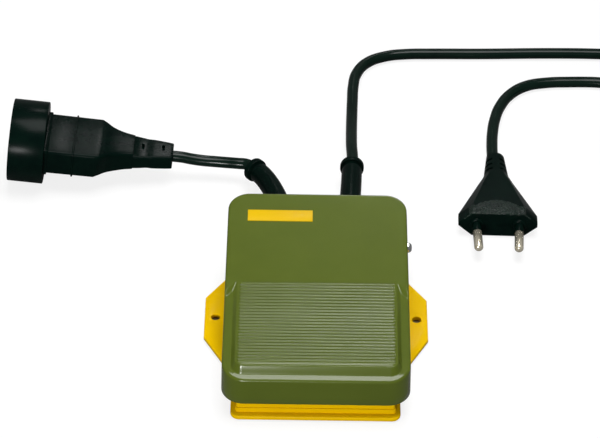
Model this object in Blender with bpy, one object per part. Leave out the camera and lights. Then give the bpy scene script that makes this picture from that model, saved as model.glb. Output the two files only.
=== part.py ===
# Foot switch: a ribbed pedal cover rocks on a screw-down base and works a snap switch.
# A supply lead comes in at the back right, and a short lead with a coupling goes out at the
# back left. Metres, +Z up, front edge towards -Y, origin on the floor under the base's middle.

import math

import bmesh
import bpy
from mathutils import Matrix, Vector

# ---- Clearances ----
seat_gap = 0.0003            # between two pieces that rest on or in each other
running_gap = 0.0004         # between the rocking cover and the base's pivot posts
stop_gap = 0.0003            # left under the cover at full travel
sweep_gap = 0.0012           # around the boots, where the cover's back wall rocks past them

# ---- Base ----
base_width = 0.0705
base_length = 0.1044
base_corner = 0.0035
plate_thickness = 0.0020
plate_edge = 0.0006          # rounding of the plate's rim
foot_radius = 0.0050
foot_proud = 0.0006          # how far the rubber feet stand below the plate
foot_recess = 0.0010
foot_inset = 0.0105          # from the plate's sides to a foot's middle
ear_span = 0.0957            # over both ears
ear_tip = 0.0253             # length of an ear along its outer edge
ear_tip_y = 0.0089           # middle of that edge, behind the base's middle
ear_root = 0.0668            # length of an ear where it meets the plate
ear_root_y = 0.0067          # middle of that root
ear_hole_radius = 0.0020
ear_hole_inset = 0.0047      # from the ear's outer edge to the hole's middle
rim_side = 0.0019            # the plate's rim outside the tray wall, at the sides
rim_end = 0.0029             # the same at the front and back
tray_wall = 0.0020
tray_height = 0.0112         # wall above the plate
wall_step = 0.0005           # two small steps in the tray wall's outside
wall_step_rise = 0.0022

# ---- Pedal cover ----
cover_side_gap = 0.00355     # from the tray wall to the cover's inside, at the sides
cover_end_gap = 0.0010       # the same at the front and back
cover_bottom = 0.0100        # lower edge above the floor
cover_back_height = 0.0366   # top surface at the back edge, above the floor
tread_slope = math.radians(5.2)
cover_draft = math.radians(1.0)
cover_taper = math.radians(0.1)   # each side draws in towards the back
cover_corner = 0.0095
cover_edge = 0.0011          # rounding of the top rim
shell_wall = 0.0022
roof_thickness = 0.0022
side_ledge = 0.0056          # from the cover's side to the tread
front_ledge = 0.0047         # from the cover's front to the tread
tread_margin = 0.00086       # plain strip behind the last rib
tread_corner = 0.0030
tread_step = 0.0033          # height of the tread above the ledge at its front
ledge_slope = math.radians(8.0)
step_run = 0.0015            # how far the tread's flank leans out
shoulder_run = 0.0065        # how far the shoulder beside the tread leans forward
rib_count = 27
rib_pitch = 0.00172
rib_height = 0.00045
label_length = 0.0285
label_width = 0.0070
label_thickness = 0.0006
label_recess = 0.0004
label_x = -0.0160
label_inset = 0.0145         # from the cover's back edge to the label's middle

# ---- Pedal pivot and travel ----
pivot_inset = 0.0133         # from the tray's back face to the pivot
pivot_z = 0.0200
pedal_travel = math.radians(3.0)
pivot_boss_radius = 0.0050
post_radius = 0.0060
post_depth = 0.0060
pivot_radius = 0.0014        # of the screw's shank and of the fixed pin
pin_hold = 0.0022            # how deep the fixed pin stands in the cover's left boss
screw_head_radius = 0.0022
screw_head_height = 0.0020

# ---- Return spring and stops ----
spring_inset = 0.0153        # from the tray's front face to the spring's middle
spring_radius = 0.0044
spring_wire = 0.00055        # radius of the wire
spring_turns = 6
spring_seat_height = 0.0014
spring_cup_drop = 0.0040     # how far the cover's spring seat hangs below the roof
spring_pin_radius = 0.0030
spring_pin_length = 0.0036
stop_x = 0.0240
stop_inset = 0.0093          # from the tray's front face to the stops
stop_radius = 0.0030
rest_stop_width = 0.0060     # ribs under the roof that meet the gland blocks at rest
rest_stop_depth = 0.0024

# ---- Snap switch ----
switch_width = 0.0103
switch_length = 0.0278
lever_room = 0.0025546       # between the lever's tip and the cover's roof
switch_behind_spring = 0.0259
switch_lift = 0.0030         # room for the terminals under the case
switch_edge = 0.0005
switch_hole_spacing = 0.0222
switch_hole_height = 0.0029
switch_wall = 0.0030
switch_screw_radius = 0.0013
switch_head_radius = 0.0025
switch_head_height = 0.0016
plunger_length = 0.0020
plunger_width = 0.0036
plunger_depth = 0.0026       # how deep the plunger stands in the case at rest
plunger_travel = 0.0007
plunger_offset = 0.0070      # from the lever's hinge to the plunger
lever_width = 0.0048
lever_thickness = 0.0005
lever_tilt = math.radians(6.0)
lever_hinge_inset = 0.0022   # from the case's back end to the hinge
lever_hinge_rise = 0.0006    # hinge above the case
lever_reach = 0.0246         # hinge to tip
lever_contact = 0.0230       # hinge to where the cover's boss presses
actuator_radius = 0.0030
actuator_tip = 0.0008        # radius of the flat on the actuator's rounded end
terminal_width = 0.0048
terminal_thickness = 0.0008
terminal_length = 0.0024

# ---- Cords, glands and clamps ----
cord_radius = 0.0026
floor_lift = 0.00015         # keeps what lies on the floor from dipping below it
gland_x = 0.0140
gland_z = 0.0130
gland_wall = 0.0040
gland_margin = 0.0030        # gland block beyond its hole
boot_root_radius = 0.0048
boot_end_radius = 0.0046
boot_flange_radius = 0.0064
boot_flange = 0.0020
bead_radius = 0.0054
bead_length = 0.0034
clamp_inset = 0.0143         # from the tray's back face to the clamps
clamp_width = 0.0170
clamp_depth = 0.0050
clamp_thickness = 0.0024
clamp_screw_spacing = 0.0120
clamp_screw_radius = 0.0012
clamp_head_radius = 0.0022
clamp_head_height = 0.0016
cord_tail = 0.0065           # cord in front of its clamp

# ---- Terminal block ----
block_width = 0.0160
block_length = 0.0150
block_height = 0.0110
block_shift = 0.00035        # how far behind the middle of its room the block stands
block_pole_spacing = 0.0080
block_bore_radius = 0.0016
block_screw_radius = 0.0016
block_screw_spacing = 0.0080

# ---- Supply plug ----
plug_x = 0.0806
plug_behind = 0.0187         # plug face behind the tray's back face
plug_yaw = math.radians(-1.3)
plug_width = 0.0352
plug_thickness = 0.0125
plug_flat = 0.0230           # flat top of the face's hexagon
plug_shoulder = 0.0060       # straight stretch behind the face
plug_thinning = 0.0014       # taken off each face between the shoulder and the relief
plug_length = 0.0510
relief_length = 0.0170
relief_root_width = 0.0120
relief_end_width = 0.0080
relief_end_thickness = 0.0072
relief_slots = 3
pin_spacing = 0.0190         # where the pins leave the face
pin_tip_spacing = 0.0176
pin_radius = 0.0020
pin_length = 0.0180
pin_sleeve_length = 0.0060
pin_sleeve_wall = 0.00035
pin_root = 0.0050
cord_aside = 0.0012          # how far to the left of the plug's middle the cord enters

# ---- Output coupling ----
coupling_face = (-0.1388, 0.0583)    # X, and distance behind the tray's back face
coupling_tail = (-0.0656, 0.0569)
coupling_pitch = math.radians(5.8)
collar_radius = 0.0186
collar_length = 0.0160
coupling_width = 0.0286      # at the collar
coupling_narrowing = 0.0006  # from the collar to where the taper begins
coupling_thickness = 0.0129
coupling_straight = 0.0405   # collar's face to where the taper begins
coupling_flange = 0.0016
tail_width = 0.0108
tail_thickness = 0.0070
insert_radius = 0.0140
insert_depth = 0.0120
contact_hole_radius = 0.0024
contact_sleeve_radius = 0.0028
contact_sleeve_bore = 0.0021
contact_sleeve_length = 0.0080
contact_entry = 0.0025       # insert's front wall ahead of the sleeves

# ---- Supply coil ----
coil_x = 0.2110
coil_behind = 0.1187         # coil's middle behind the tray's back face
coil_inner_radius = 0.0220
coil_pitch = 0.0063          # from turn to turn and from layer to layer
coil_layers = 4
coil_turns = 2.0             # in each layer
coil_start = math.radians(90.0)
coil_last_turns = 2.125      # the top layer runs on until it heads for the plug

plate_bottom = foot_proud
plate_top = plate_bottom + plate_thickness
cord_lie = cord_radius + floor_lift
plug_pitch = math.atan(plug_thinning / (plug_length - relief_length - plug_shoulder))
tray_half_width = base_width / 2 - rim_side
tray_half_length = base_length / 2 - rim_end
half_cover = tray_half_width + cover_side_gap + shell_wall
half_depth = tray_half_length + cover_end_gap + shell_wall
tread_width = 2 * (half_cover - side_ledge)
tread_front = front_ledge - half_depth
tread_back = tread_front + rib_count * rib_pitch + tread_margin
label_y = half_depth - label_inset
pivot_y = tray_half_length - pivot_inset
spring_y = spring_inset - tray_half_length
stop_y = stop_inset - tray_half_length
switch_middle_y = spring_y + switch_behind_spring
clamp_y = tray_half_length - clamp_inset
cord_end_y = clamp_y - cord_tail
block_y = (clamp_y - clamp_depth / 2 + switch_middle_y + switch_length / 2) / 2 + block_shift
plug_face_y = tray_half_length + plug_behind
coil_y = tray_half_length + coil_behind


# ---------------------------------------------------------------- scene and shared tools

def clear_scene():
    for thing in list(bpy.data.objects):
        bpy.data.objects.remove(thing, do_unlink=True)


def linear(hex_colour):
    """sRGB hex to the linear values that Blender's shaders take."""
    parts = [int(hex_colour[i:i + 2], 16) / 255 for i in (1, 3, 5)]
    return [c / 12.92 if c <= 0.04045 else ((c + 0.055) / 1.055) ** 2.4 for c in parts]


def make_material(name, hex_colour, roughness, metallic=0.0):
    material = bpy.data.materials.new(name)
    material.use_nodes = True
    shader = material.node_tree.nodes["Principled BSDF"]
    shader.inputs["Base Color"].default_value = (*linear(hex_colour), 1.0)
    shader.inputs["Roughness"].default_value = roughness
    shader.inputs["Metallic"].default_value = metallic
    return material


def finish(name, mesh, material, smooth=35.0):
    """Make the object, with faces out and shaded smooth up to the given angle."""
    shape = bmesh.new()
    shape.from_mesh(mesh)
    bmesh.ops.recalc_face_normals(shape, faces=shape.faces)
    shape.to_mesh(mesh)
    shape.free()
    mesh.shade_smooth()
    mesh.set_sharp_from_angle(angle=math.radians(smooth))
    thing = bpy.data.objects.new(name, mesh)
    bpy.context.scene.collection.objects.link(thing)
    if material is not None:
        mesh.materials.append(material)
    return thing


def loft(name, rings, material=None, closed=False):
    """Join rings of equally many points, and cap the ends unless the rings close on themselves."""
    count = len(rings[0])
    points = [tuple(point) for ring in rings for point in ring]
    faces = []
    steps = len(rings) if closed else len(rings) - 1
    for row in range(steps):
        here = row * count
        there = ((row + 1) % len(rings)) * count
        for column in range(count):
            after = (column + 1) % count
            faces.append((here + column, here + after, there + after, there + column))
    if not closed:
        faces.append(tuple(range(count)))
        faces.append(tuple(range(len(points) - count, len(points))))
    mesh = bpy.data.meshes.new(name)
    mesh.from_pydata(points, [], faces)
    return finish(name, mesh, material)


def prism(name, outline, low, high, material=None):
    """Stand an outline in X and Y up between two heights; a height may be a function of (x, y)."""
    def level(height):
        return [(x, y, height(x, y) if callable(height) else height) for x, y in outline]
    return loft(name, [level(low), level(high)], material)


def box(name, low, high, material=None):
    outline = [(low[0], low[1]), (high[0], low[1]), (high[0], high[1]), (low[0], high[1])]
    return prism(name, outline, low[2], high[2], material)


def turned(name, profile, start, along, sides=24, material=None, closed=False):
    """Turn a profile of (distance, radius) pairs about the line from start in direction along."""
    axis = Vector(along).normalized()
    turn = axis.to_track_quat("Z", "Y").to_matrix()
    rings = []
    for distance, radius in profile:
        ring = []
        for step in range(sides):
            angle = 2 * math.pi * (step + 0.5) / sides
            spoke = turn @ Vector((math.cos(angle), math.sin(angle), 0.0))
            ring.append(Vector(start) + axis * distance + spoke * radius)
        rings.append(ring)
    return loft(name, rings, material, closed)


def cylinder(name, start, end, radius, sides=24, material=None):
    along = Vector(end) - Vector(start)
    return turned(name, [(0.0, radius), (along.length, radius)], start, along, sides, material)


def pan_screw(name, seat, along, head_radius, head_height, shank_radius, shank_length, material):
    """A domed screw: the shank runs from the seat in direction along, the head stands behind it."""
    profile = [(-head_height, head_radius * 0.30), (-head_height * 0.93, head_radius * 0.62),
               (-head_height * 0.66, head_radius * 0.88), (-head_height * 0.30, head_radius),
               (0.0, head_radius), (0.0, shank_radius), (shank_length - shank_radius, shank_radius),
               (shank_length, shank_radius * 0.4)]
    return turned(name, profile, seat, along, 16, material)


def guide(thing):
    """Hide a cutter or a shape that is only joined into another."""
    thing.hide_render = True
    thing.display_type = "WIRE"
    return thing


def combine(target, other, operation):
    modifier = target.modifiers.new(operation.title() + " " + other.name, "BOOLEAN")
    modifier.operation = operation
    modifier.solver = "EXACT"
    modifier.object = guide(other)


def cut(target, cutter):
    combine(target, cutter, "DIFFERENCE")


def join(target, piece):
    combine(target, piece, "UNION")


def rounded_rectangle(half_x, half_y, radius, steps=5, middle=(0.0, 0.0)):
    """Corners first right front, then anticlockwise; each is an arc of the given steps."""
    radius = min(radius, half_x * 0.98, half_y * 0.98)
    outline = []
    for corner, (side_x, side_y) in enumerate([(1, -1), (1, 1), (-1, 1), (-1, -1)]):
        for step in range(steps + 1):
            angle = math.radians(-90 + 90 * corner + 90 * step / steps)
            outline.append((middle[0] + side_x * (half_x - radius) + radius * math.cos(angle),
                            middle[1] + side_y * (half_y - radius) + radius * math.sin(angle)))
    return outline


def smooth_route(points, spacing):
    """Evenly spaced points on a smooth curve through the route's own points.

    The first and last stretches stay straight, so that an end stands square to what it meets.
    """
    route = [Vector(point) for point in points]
    fine = []
    for before, start, end, after in zip(route, route[1:], route[2:], route[3:]):
        for step in range(24):
            t = step / 24
            fine.append(0.5 * (2 * start + (end - before) * t
                               + (2 * before - 5 * start + 4 * end - after) * t ** 2
                               + (3 * start - before - 3 * end + after) * t ** 3))
    fine.append(route[-2])
    lengths = [0.0]
    for here, there in zip(fine, fine[1:]):
        lengths.append(lengths[-1] + (there - here).length)
    count = max(2, round(lengths[-1] / spacing))
    even = []
    index = 0
    for step in range(count + 1):
        wanted = lengths[-1] * step / count
        while index < len(fine) - 2 and lengths[index + 1] < wanted:
            index += 1
        share = (wanted - lengths[index]) / (lengths[index + 1] - lengths[index])
        even.append(fine[index].lerp(fine[index + 1], share))
    return [route[0]] + even + [route[-1]]


def tube(name, points, radius, resolution, material):
    """A cord or wire: one curve with a round bevel and filled ends."""
    curve = bpy.data.curves.new(name, "CURVE")
    curve.dimensions = "3D"
    curve.bevel_depth = radius
    curve.bevel_resolution = resolution
    curve.use_fill_caps = True
    spline = curve.splines.new("POLY")
    spline.points.add(len(points) - 1)
    for point, place in zip(spline.points, points):
        point.co = (*place, 1.0)
    curve.materials.append(material)
    thing = bpy.data.objects.new(name, curve)
    bpy.context.scene.collection.objects.link(thing)
    return thing


def sleeve_along(name, route, profile, sides, material):
    """Sweep a profile of (distance, radius) pairs along a route."""
    lengths = [0.0]
    for here, there in zip(route, route[1:]):
        lengths.append(lengths[-1] + (there - here).length)
    rings = []
    across = Vector((1.0, 0.0, 0.0))
    for distance, radius in profile:
        distance = min(max(distance, 0.0), lengths[-1])
        index = 0
        while index < len(route) - 2 and lengths[index + 1] < distance:
            index += 1
        share = (distance - lengths[index]) / (lengths[index + 1] - lengths[index])
        middle = route[index].lerp(route[index + 1], share)
        before = route[index] - route[max(index - 1, 0)] if index else route[1] - route[0]
        after = route[index + 1] - route[index]
        forward = before.normalized().lerp(after.normalized(), 0.5 + 0.5 * share).normalized()
        across = (across - forward * across.dot(forward)).normalized()
        up = forward.cross(across)
        rings.append([middle + radius * (across * math.cos(2 * math.pi * step / sides)
                                         + up * math.sin(2 * math.pi * step / sides))
                      for step in range(sides)])
    return loft(name, rings, material)


def length_of(points):
    return sum((there - here).length for here, there in zip(points, points[1:]))


# ---------------------------------------------------------------- surfaces of the pedal cover

def tread_plane(y):
    """Height of the cover's main top surface, which falls towards the front."""
    return cover_back_height - (half_depth - y) * math.tan(tread_slope)


def ledge_plane(y):
    """Height of the ledge beside the tread: a full step below the tread at its front."""
    front = tread_plane(tread_front) - tread_step
    return front + (y - tread_front) * math.tan(ledge_slope)


def wall_inset(z):
    """How far the cover's wall has leaned in at a height."""
    return (z - cover_bottom) * math.tan(cover_draft)


def side_inset(y):
    """How far the cover's side has drawn in at a place, for its taper towards the back."""
    return (y + half_depth) * math.tan(cover_taper)


def cover_side(y, z):
    """X of the cover's outer side wall."""
    return half_cover - side_inset(y) - wall_inset(z)


def cover_ring(inset, height):
    """The cover's outline drawn in by an inset, at a height that may depend on y."""
    outline = rounded_rectangle(half_cover - inset, half_depth - inset,
                                max(cover_corner - inset, 0.001), 6)
    return [(x * (1 - side_inset(y) / half_cover), y, height(y)) for x, y in outline]


def cover_rim(plane, inset_extra, drop):
    """A ring near the top rim: the wall's own lean plus an extra inset, below the plane."""
    outline = rounded_rectangle(half_cover, half_depth, cover_corner, 6)
    ring = []
    for x, y in outline:
        z = plane(y) - drop
        inset = wall_inset(z) + inset_extra
        ring.append((x * (1 - (inset + side_inset(y)) / half_cover), y * (1 - inset / half_depth), z))
    return ring


def ledge_station(tread_point, wall_point, outward):
    """One cross-section of the ledge cutter, from the tread's edge out past the wall."""
    high = cover_back_height + 0.010
    tread = Vector((*tread_point, 0.0))
    wall = Vector((*wall_point, 0.0))
    out = Vector((*outward, 0.0)).normalized()
    ledge_z = ledge_plane(wall.y)
    wall = wall - out * (wall_inset(ledge_z) + side_inset(wall.y) * abs(out.x))
    foot = tread + out * step_run
    roll = cover_edge
    places = [(tread, high), (tread, tread_plane(tread.y)), (foot, ledge_plane(foot.y)),
              (wall - out * roll, ledge_plane(wall.y)),
              (wall - out * roll * 0.3, ledge_plane(wall.y) - roll * 0.3),
              (wall, ledge_plane(wall.y) - roll),
              (wall + out * 0.006, ledge_plane(wall.y) - roll), (wall + out * 0.006, high)]
    return [(place.x, place.y, z) for place, z in places]


def ledge_cutter():
    """Clears the ledge round the tread's sides and front, with the rim's rounding in it."""
    half = tread_width / 2
    stations = []
    corner_steps = 6

    def side(sign):
        lean = (sign * (half_cover - half), -shoulder_run)
        rows = [ledge_station((sign * half, tread_back),
                              (sign * half_cover, tread_back - shoulder_run), lean)]
        rows.append(ledge_station((sign * half, tread_back - shoulder_run),
                                  (sign * half_cover, tread_back - 2 * shoulder_run), (sign, 0)))
        for step in range(corner_steps + 1):
            angle = math.radians(90 * step / corner_steps)
            out = (sign * math.cos(angle), -math.sin(angle))
            tread_point = (sign * (half - tread_corner) + tread_corner * out[0],
                           tread_front + tread_corner + tread_corner * out[1])
            wall_point = (sign * (half_cover - cover_corner) + cover_corner * out[0],
                          -half_depth + cover_corner + cover_corner * out[1])
            rows.append(ledge_station(tread_point, wall_point, out))
        return rows

    stations = side(-1) + side(1)[::-1]
    return loft("ledge_cutter", stations)


def tread_outline(inset):
    """Outline of the ribbed field, with cut back corners and rounded front corners."""
    half = tread_width / 2 - inset
    back = tread_back - inset
    front = tread_front + inset
    corner = max(tread_corner - inset, 0.0008)
    outline = [(half, back - corner), (half - corner, back), (-half + corner, back),
               (-half, back - corner)]
    for step in range(4):
        angle = math.radians(180 + 30 * step)
        outline.append((-half + corner + corner * math.cos(angle),
                        front + corner + corner * math.sin(angle)))
    for step in range(4):
        angle = math.radians(270 + 30 * step)
        outline.append((half - corner + corner * math.cos(angle),
                        front + corner + corner * math.sin(angle)))
    return outline


def rib_field():
    """All the tread's ribs as one wavy sheet, trimmed to the tread's outline."""
    crest_share = 0.34
    half = tread_width / 2
    first = tread_front + 0.5 * rib_pitch
    sink = 0.0005
    wave = []
    for rib in range(rib_count):
        middle = first + rib * rib_pitch
        for offset, rise in ((-0.36, 0.0), (-crest_share / 2, 1.0), (crest_share / 2, 1.0), (0.36, 0.0)):
            y = middle + offset * rib_pitch
            wave.append((y, tread_plane(y) + rise * rib_height - (0.00002 if rise == 0 else 0)))
    last = wave[-1][0]
    start = wave[0][0]
    wave += [(last, tread_plane(last) - sink), (start, tread_plane(start) - sink)]
    rings = [[(x, y, z) for y, z in wave] for x in (-half, half)]
    field = loft("rib_field", rings)
    low = tread_plane(tread_front) - 0.002
    keeper = prism("rib_keeper", tread_outline(0.0004), low, cover_back_height + 0.002)
    combine(field, keeper, "INTERSECT")
    return field


# ---------------------------------------------------------------- pieces

def pedal_cover(material):
    """Shell with a ribbed tread, hollow below, with bosses for pivot, switch, spring and stops."""
    def floor(y):
        return cover_bottom
    rings = [cover_ring(0.0, floor), cover_rim(tread_plane, 0.0, cover_edge),
             cover_rim(tread_plane, cover_edge * 0.3, cover_edge * 0.3),
             cover_rim(tread_plane, cover_edge, 0.0)]
    cover = loft("pedal_cover", rings, material)
    cut(cover, ledge_cutter())

    def under_ledge(y):
        return tread_plane(y) - tread_step - roof_thickness
    lower = [cover_ring(shell_wall, lambda y: cover_bottom - 0.002),
             cover_ring(shell_wall, lambda y: cover_bottom),
             cover_rim(under_ledge, shell_wall, 0.0)]
    cut(cover, loft("lower_hollow", lower))
    cut(cover, roof_hollow())
    join(cover, rib_field())

    for name, start, end, radius in cover_bosses():
        join(cover, cylinder(name, start, end, radius, 20))
    for side in (-1, 1):
        join(cover, rest_stop(side))
    press_y, press_z = actuator_place()
    tip = [(0.0, actuator_tip), (actuator_radius * 0.15, actuator_radius * 0.72),
           (actuator_radius * 0.5, actuator_radius),
           (tread_plane(press_y) - roof_thickness / 2 - press_z, actuator_radius)]
    join(cover, turned("actuator_boss", tip, (0.0, press_y, press_z), (0, 0, 1), 20))
    wall_x = cover_side(pivot_y, pivot_z)
    for side in (-1, 1):
        boss = cylinder("pivot_boss", (side * (tray_half_width + running_gap), pivot_y, pivot_z),
                        (side * (wall_x - shell_wall / 2), pivot_y, pivot_z), pivot_boss_radius)
        join(cover, boss)
        depth = tray_half_width + running_gap + pin_hold + seat_gap if side < 0 else wall_x + 0.003
        drill = cylinder("pivot_drill", (side * tray_half_width * 0.8, pivot_y, pivot_z),
                         (side * depth, pivot_y, pivot_z), pivot_radius + seat_gap, 16)
        cut(cover, drill)
        cut(cover, boot_notch(side))
    cut(cover, label_pocket())
    return cover


def roof_hollow():
    """Hollow under the back plateau and the raised tread."""
    wide = cover_side(half_depth, cover_back_height) - shell_wall - 0.0003
    narrow = tread_width / 2 - roof_thickness
    back = half_depth - shell_wall - wall_inset(cover_back_height) - 0.0003
    front = tread_front + roof_thickness
    shoulder = tread_back + 0.003
    corner = cover_corner - shell_wall
    outline = [(narrow, front), (narrow, shoulder), (wide, shoulder), (wide, back - corner),
               (wide - corner, back), (-wide + corner, back), (-wide, back - corner),
               (-wide, shoulder), (-narrow, shoulder), (-narrow, front)]
    return prism("roof_hollow", outline, cover_bottom + 0.004,
                 lambda x, y: tread_plane(y) - roof_thickness)


def actuator_place():
    """Middle of the boss that presses the lever, and the height of its lower end."""
    hinge_y, hinge_z = lever_hinge()
    y = hinge_y - lever_contact * math.cos(lever_tilt)
    top = hinge_z + lever_contact * math.sin(lever_tilt) + lever_thickness / math.cos(lever_tilt)
    z = top + actuator_tip * math.tan(lever_tilt) + seat_gap
    return y, z


def cover_bosses():
    """Name, lower end, upper end and radius of what hangs from the cover's roof."""
    spring_roof = tread_plane(spring_y) - roof_thickness
    seat = spring_roof - spring_cup_drop
    return [("spring_cup", (0.0, spring_y, seat),
             (0.0, spring_y, spring_roof + roof_thickness / 2), spring_radius + 0.0016),
            ("spring_pin_upper", (0.0, spring_y, seat - spring_pin_length),
             (0.0, spring_y, seat + 0.001), spring_pin_radius)]


def rest_stop(side):
    """Rib that lands on the gland block and stops the pedal's front from rising further."""
    y = tray_half_length - gland_wall / 2
    x = side * gland_x
    roof = tread_plane(y) - roof_thickness / 2
    return box("rest_stop", (x - rest_stop_width / 2, y - rest_stop_depth / 2, gland_top() + seat_gap),
               (x + rest_stop_width / 2, y + rest_stop_depth / 2, roof))


def gland_top():
    return gland_z + boot_root_radius + gland_margin


def boot_notch(side):
    """Slot in the cover's back wall, open below, that lets it rock past a boot."""
    radius = boot_root_radius + sweep_gap
    outline = []
    steps = 10
    for step in range(steps + 1):
        angle = math.pi * step / steps
        outline.append((side * gland_x + radius * math.cos(angle),
                        gland_z + radius * math.sin(angle)))
    outline += [(side * gland_x - radius, cover_bottom - 0.003),
                (side * gland_x + radius, cover_bottom - 0.003)]
    rings = [[(x, y, z) for x, z in outline]
             for y in (half_depth - shell_wall * 2.5, half_depth + 0.002)]
    return loft("boot_notch", rings)


def label_outline(inset):
    half_x = label_length / 2 - inset
    half_y = label_width / 2 - inset
    return [(label_x - half_x, label_y - half_y), (label_x + half_x, label_y - half_y),
            (label_x + half_x, label_y + half_y), (label_x - half_x, label_y + half_y)]


def label_pocket():
    return prism("label_pocket", label_outline(0.0),
                 lambda x, y: tread_plane(y) - label_recess, cover_back_height + 0.003)


def cover_label(material):
    """Bare label plate that lies in its shallow pocket on the cover."""
    low = label_recess - seat_gap
    return prism("cover_label", label_outline(seat_gap), lambda x, y: tread_plane(y) - low,
                 lambda x, y: tread_plane(y) - low + label_thickness, material)


def plate_outline():
    """Plate with rounded corners and a six-sided ear on each side."""
    half_x = base_width / 2
    half_y = base_length / 2
    corners = rounded_rectangle(half_x, half_y, base_corner, 4)
    per_corner = len(corners) // 4
    right = [(half_x, ear_root_y - ear_root / 2), (ear_span / 2, ear_tip_y - ear_tip / 2),
             (ear_span / 2, ear_tip_y + ear_tip / 2), (half_x, ear_root_y + ear_root / 2)]
    left = [(-x, y) for x, y in right[::-1]]
    return (corners[:per_corner] + right + corners[per_corner:3 * per_corner] + left
            + corners[3 * per_corner:])


def tray_ring(material=None):
    """Wall that stands on the plate inside its rim, with two small steps outside."""
    corner = max(base_corner - rim_side, 0.0012)
    top = plate_top + tray_height

    def ring(inset, z):
        outline = rounded_rectangle(tray_half_width - inset, tray_half_length - inset,
                                    max(corner - inset, 0.0005), 4)
        return [(x, y, z) for x, y in outline]
    sunk = plate_top - plate_thickness / 2
    first = plate_top + wall_step_rise
    second = first + wall_step_rise
    rings = [ring(0.0, sunk), ring(0.0, first), ring(wall_step, first), ring(wall_step, second),
             ring(2 * wall_step, second), ring(2 * wall_step, top),
             ring(2 * wall_step + tray_wall, top), ring(2 * wall_step + tray_wall, sunk)]
    return loft("tray_ring", rings, material, closed=True)


def pivot_post(side):
    """Round-topped post that takes a pivot screw, flush with the tray wall's outside."""
    outline = []
    steps = 8
    for step in range(steps + 1):
        angle = math.pi * step / steps
        outline.append((pivot_y + post_radius * math.cos(angle),
                        pivot_z + post_radius * math.sin(angle)))
    low = plate_top - plate_thickness / 2
    outline += [(pivot_y - post_radius, low), (pivot_y + post_radius, low)]
    rings = [[(side * x, y, z) for y, z in outline]
             for x in (tray_half_width - post_depth, tray_half_width)]
    return loft("pivot_post", rings)


def stop_height():
    """Top of a stop post: just under the roof when the pedal is pressed home."""
    roof = tread_plane(stop_y) - roof_thickness
    reach = pivot_y - stop_y
    turned_roof = (roof - pivot_z) * math.cos(pedal_travel) - reach * math.sin(pedal_travel)
    lean = stop_radius * math.tan(tread_slope + pedal_travel)
    return pivot_z + turned_roof - lean - stop_gap


def base_tray(material):
    """Plate with ears, tray wall, and every seat and post that stands on the plate."""
    base = prism("base_tray", plate_outline(), plate_bottom, plate_top, material)
    edge = base.modifiers.new("Rim rounding", "BEVEL")
    edge.width = plate_edge
    edge.segments = 2
    edge.limit_method = "ANGLE"
    edge.angle_limit = math.radians(60)
    join(base, tray_ring())
    low = plate_top - plate_thickness / 2
    case_low = plate_top + switch_lift
    gland_half = boot_root_radius + gland_margin
    back = tray_half_length
    for side in (-1, 1):
        middle = side * gland_x
        join(base, box("gland_block", (middle - gland_half, back - gland_wall, low),
                       (middle + gland_half, back, gland_top())))
        join(base, box("clamp_saddle", (middle - clamp_width / 2, clamp_y - clamp_depth / 2 - 0.0005, low),
                       (middle + clamp_width / 2, clamp_y + clamp_depth / 2 + 0.0005,
                        gland_z - cord_radius - seat_gap)))
        join(base, pivot_post(side))
        join(base, cylinder("stop_post", (side * stop_x, stop_y, low),
                            (side * stop_x, stop_y, stop_height()), stop_radius, 16))
        wall_x = -(switch_width / 2 + seat_gap)
        if side > 0:
            join(base, box("switch_wall", (wall_x - switch_wall, switch_middle_y - switch_length / 2, low),
                           (wall_x, switch_middle_y + switch_length / 2,
                            case_low + switch_hole_height + 0.006)))
    join(base, cylinder("spring_seat", (0, spring_y, low),
                        (0, spring_y, plate_top + spring_seat_height), spring_radius + 0.0018))
    join(base, cylinder("spring_pin", (0, spring_y, plate_top),
                        (0, spring_y, plate_top + spring_seat_height + spring_pin_length),
                        spring_pin_radius))
    for cutter in base_holes():
        cut(base, cutter)
    return base


def base_holes():
    """Cutters for the ear holes, foot recesses, glands and screw holes."""
    holes = []
    back = tray_half_length
    for side in (-1, 1):
        ear_x = side * (ear_span / 2 - ear_hole_inset)
        holes.append(cylinder("ear_hole", (ear_x, ear_tip_y, plate_bottom - 0.002),
                              (ear_x, ear_tip_y, plate_top + 0.002), ear_hole_radius))
        holes.append(cylinder("gland_hole", (side * gland_x, back - gland_wall - 0.001, gland_z),
                              (side * gland_x, back + 0.001, gland_z), boot_root_radius + seat_gap))
        holes.append(cylinder("pivot_hole", (side * (tray_half_width - post_depth - 0.001), pivot_y, pivot_z),
                              (side * (tray_half_width + 0.001), pivot_y, pivot_z),
                              pivot_radius + seat_gap, 16))
        for front in (-1, 1):
            x = side * (base_width / 2 - foot_inset)
            y = front * (base_length / 2 - foot_inset)
            holes.append(cylinder("foot_recess", (x, y, plate_bottom - 0.001),
                                  (x, y, plate_bottom + foot_recess), foot_radius + seat_gap))
        for end in (-1, 1):
            x = side * gland_x + end * clamp_screw_spacing / 2
            holes.append(cylinder("clamp_hole", (x, clamp_y, plate_top + 0.0010),
                                  (x, clamp_y, gland_z), clamp_screw_radius + seat_gap, 12))
        y = switch_middle_y + side * switch_hole_spacing / 2
        z = plate_top + switch_lift + switch_hole_height
        holes.append(cylinder("switch_wall_hole", (-switch_width - switch_wall, y, z),
                              (0.0, y, z), switch_screw_radius + seat_gap, 12))
    return holes


def rubber_foot(name, x, y, material):
    profile = [(0.0, foot_radius - 0.0005), (0.0004, foot_radius),
               (foot_proud + foot_recess - seat_gap, foot_radius)]
    return turned(name, profile, (x, y, 0.0), (0, 0, 1), 20, material)


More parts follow.
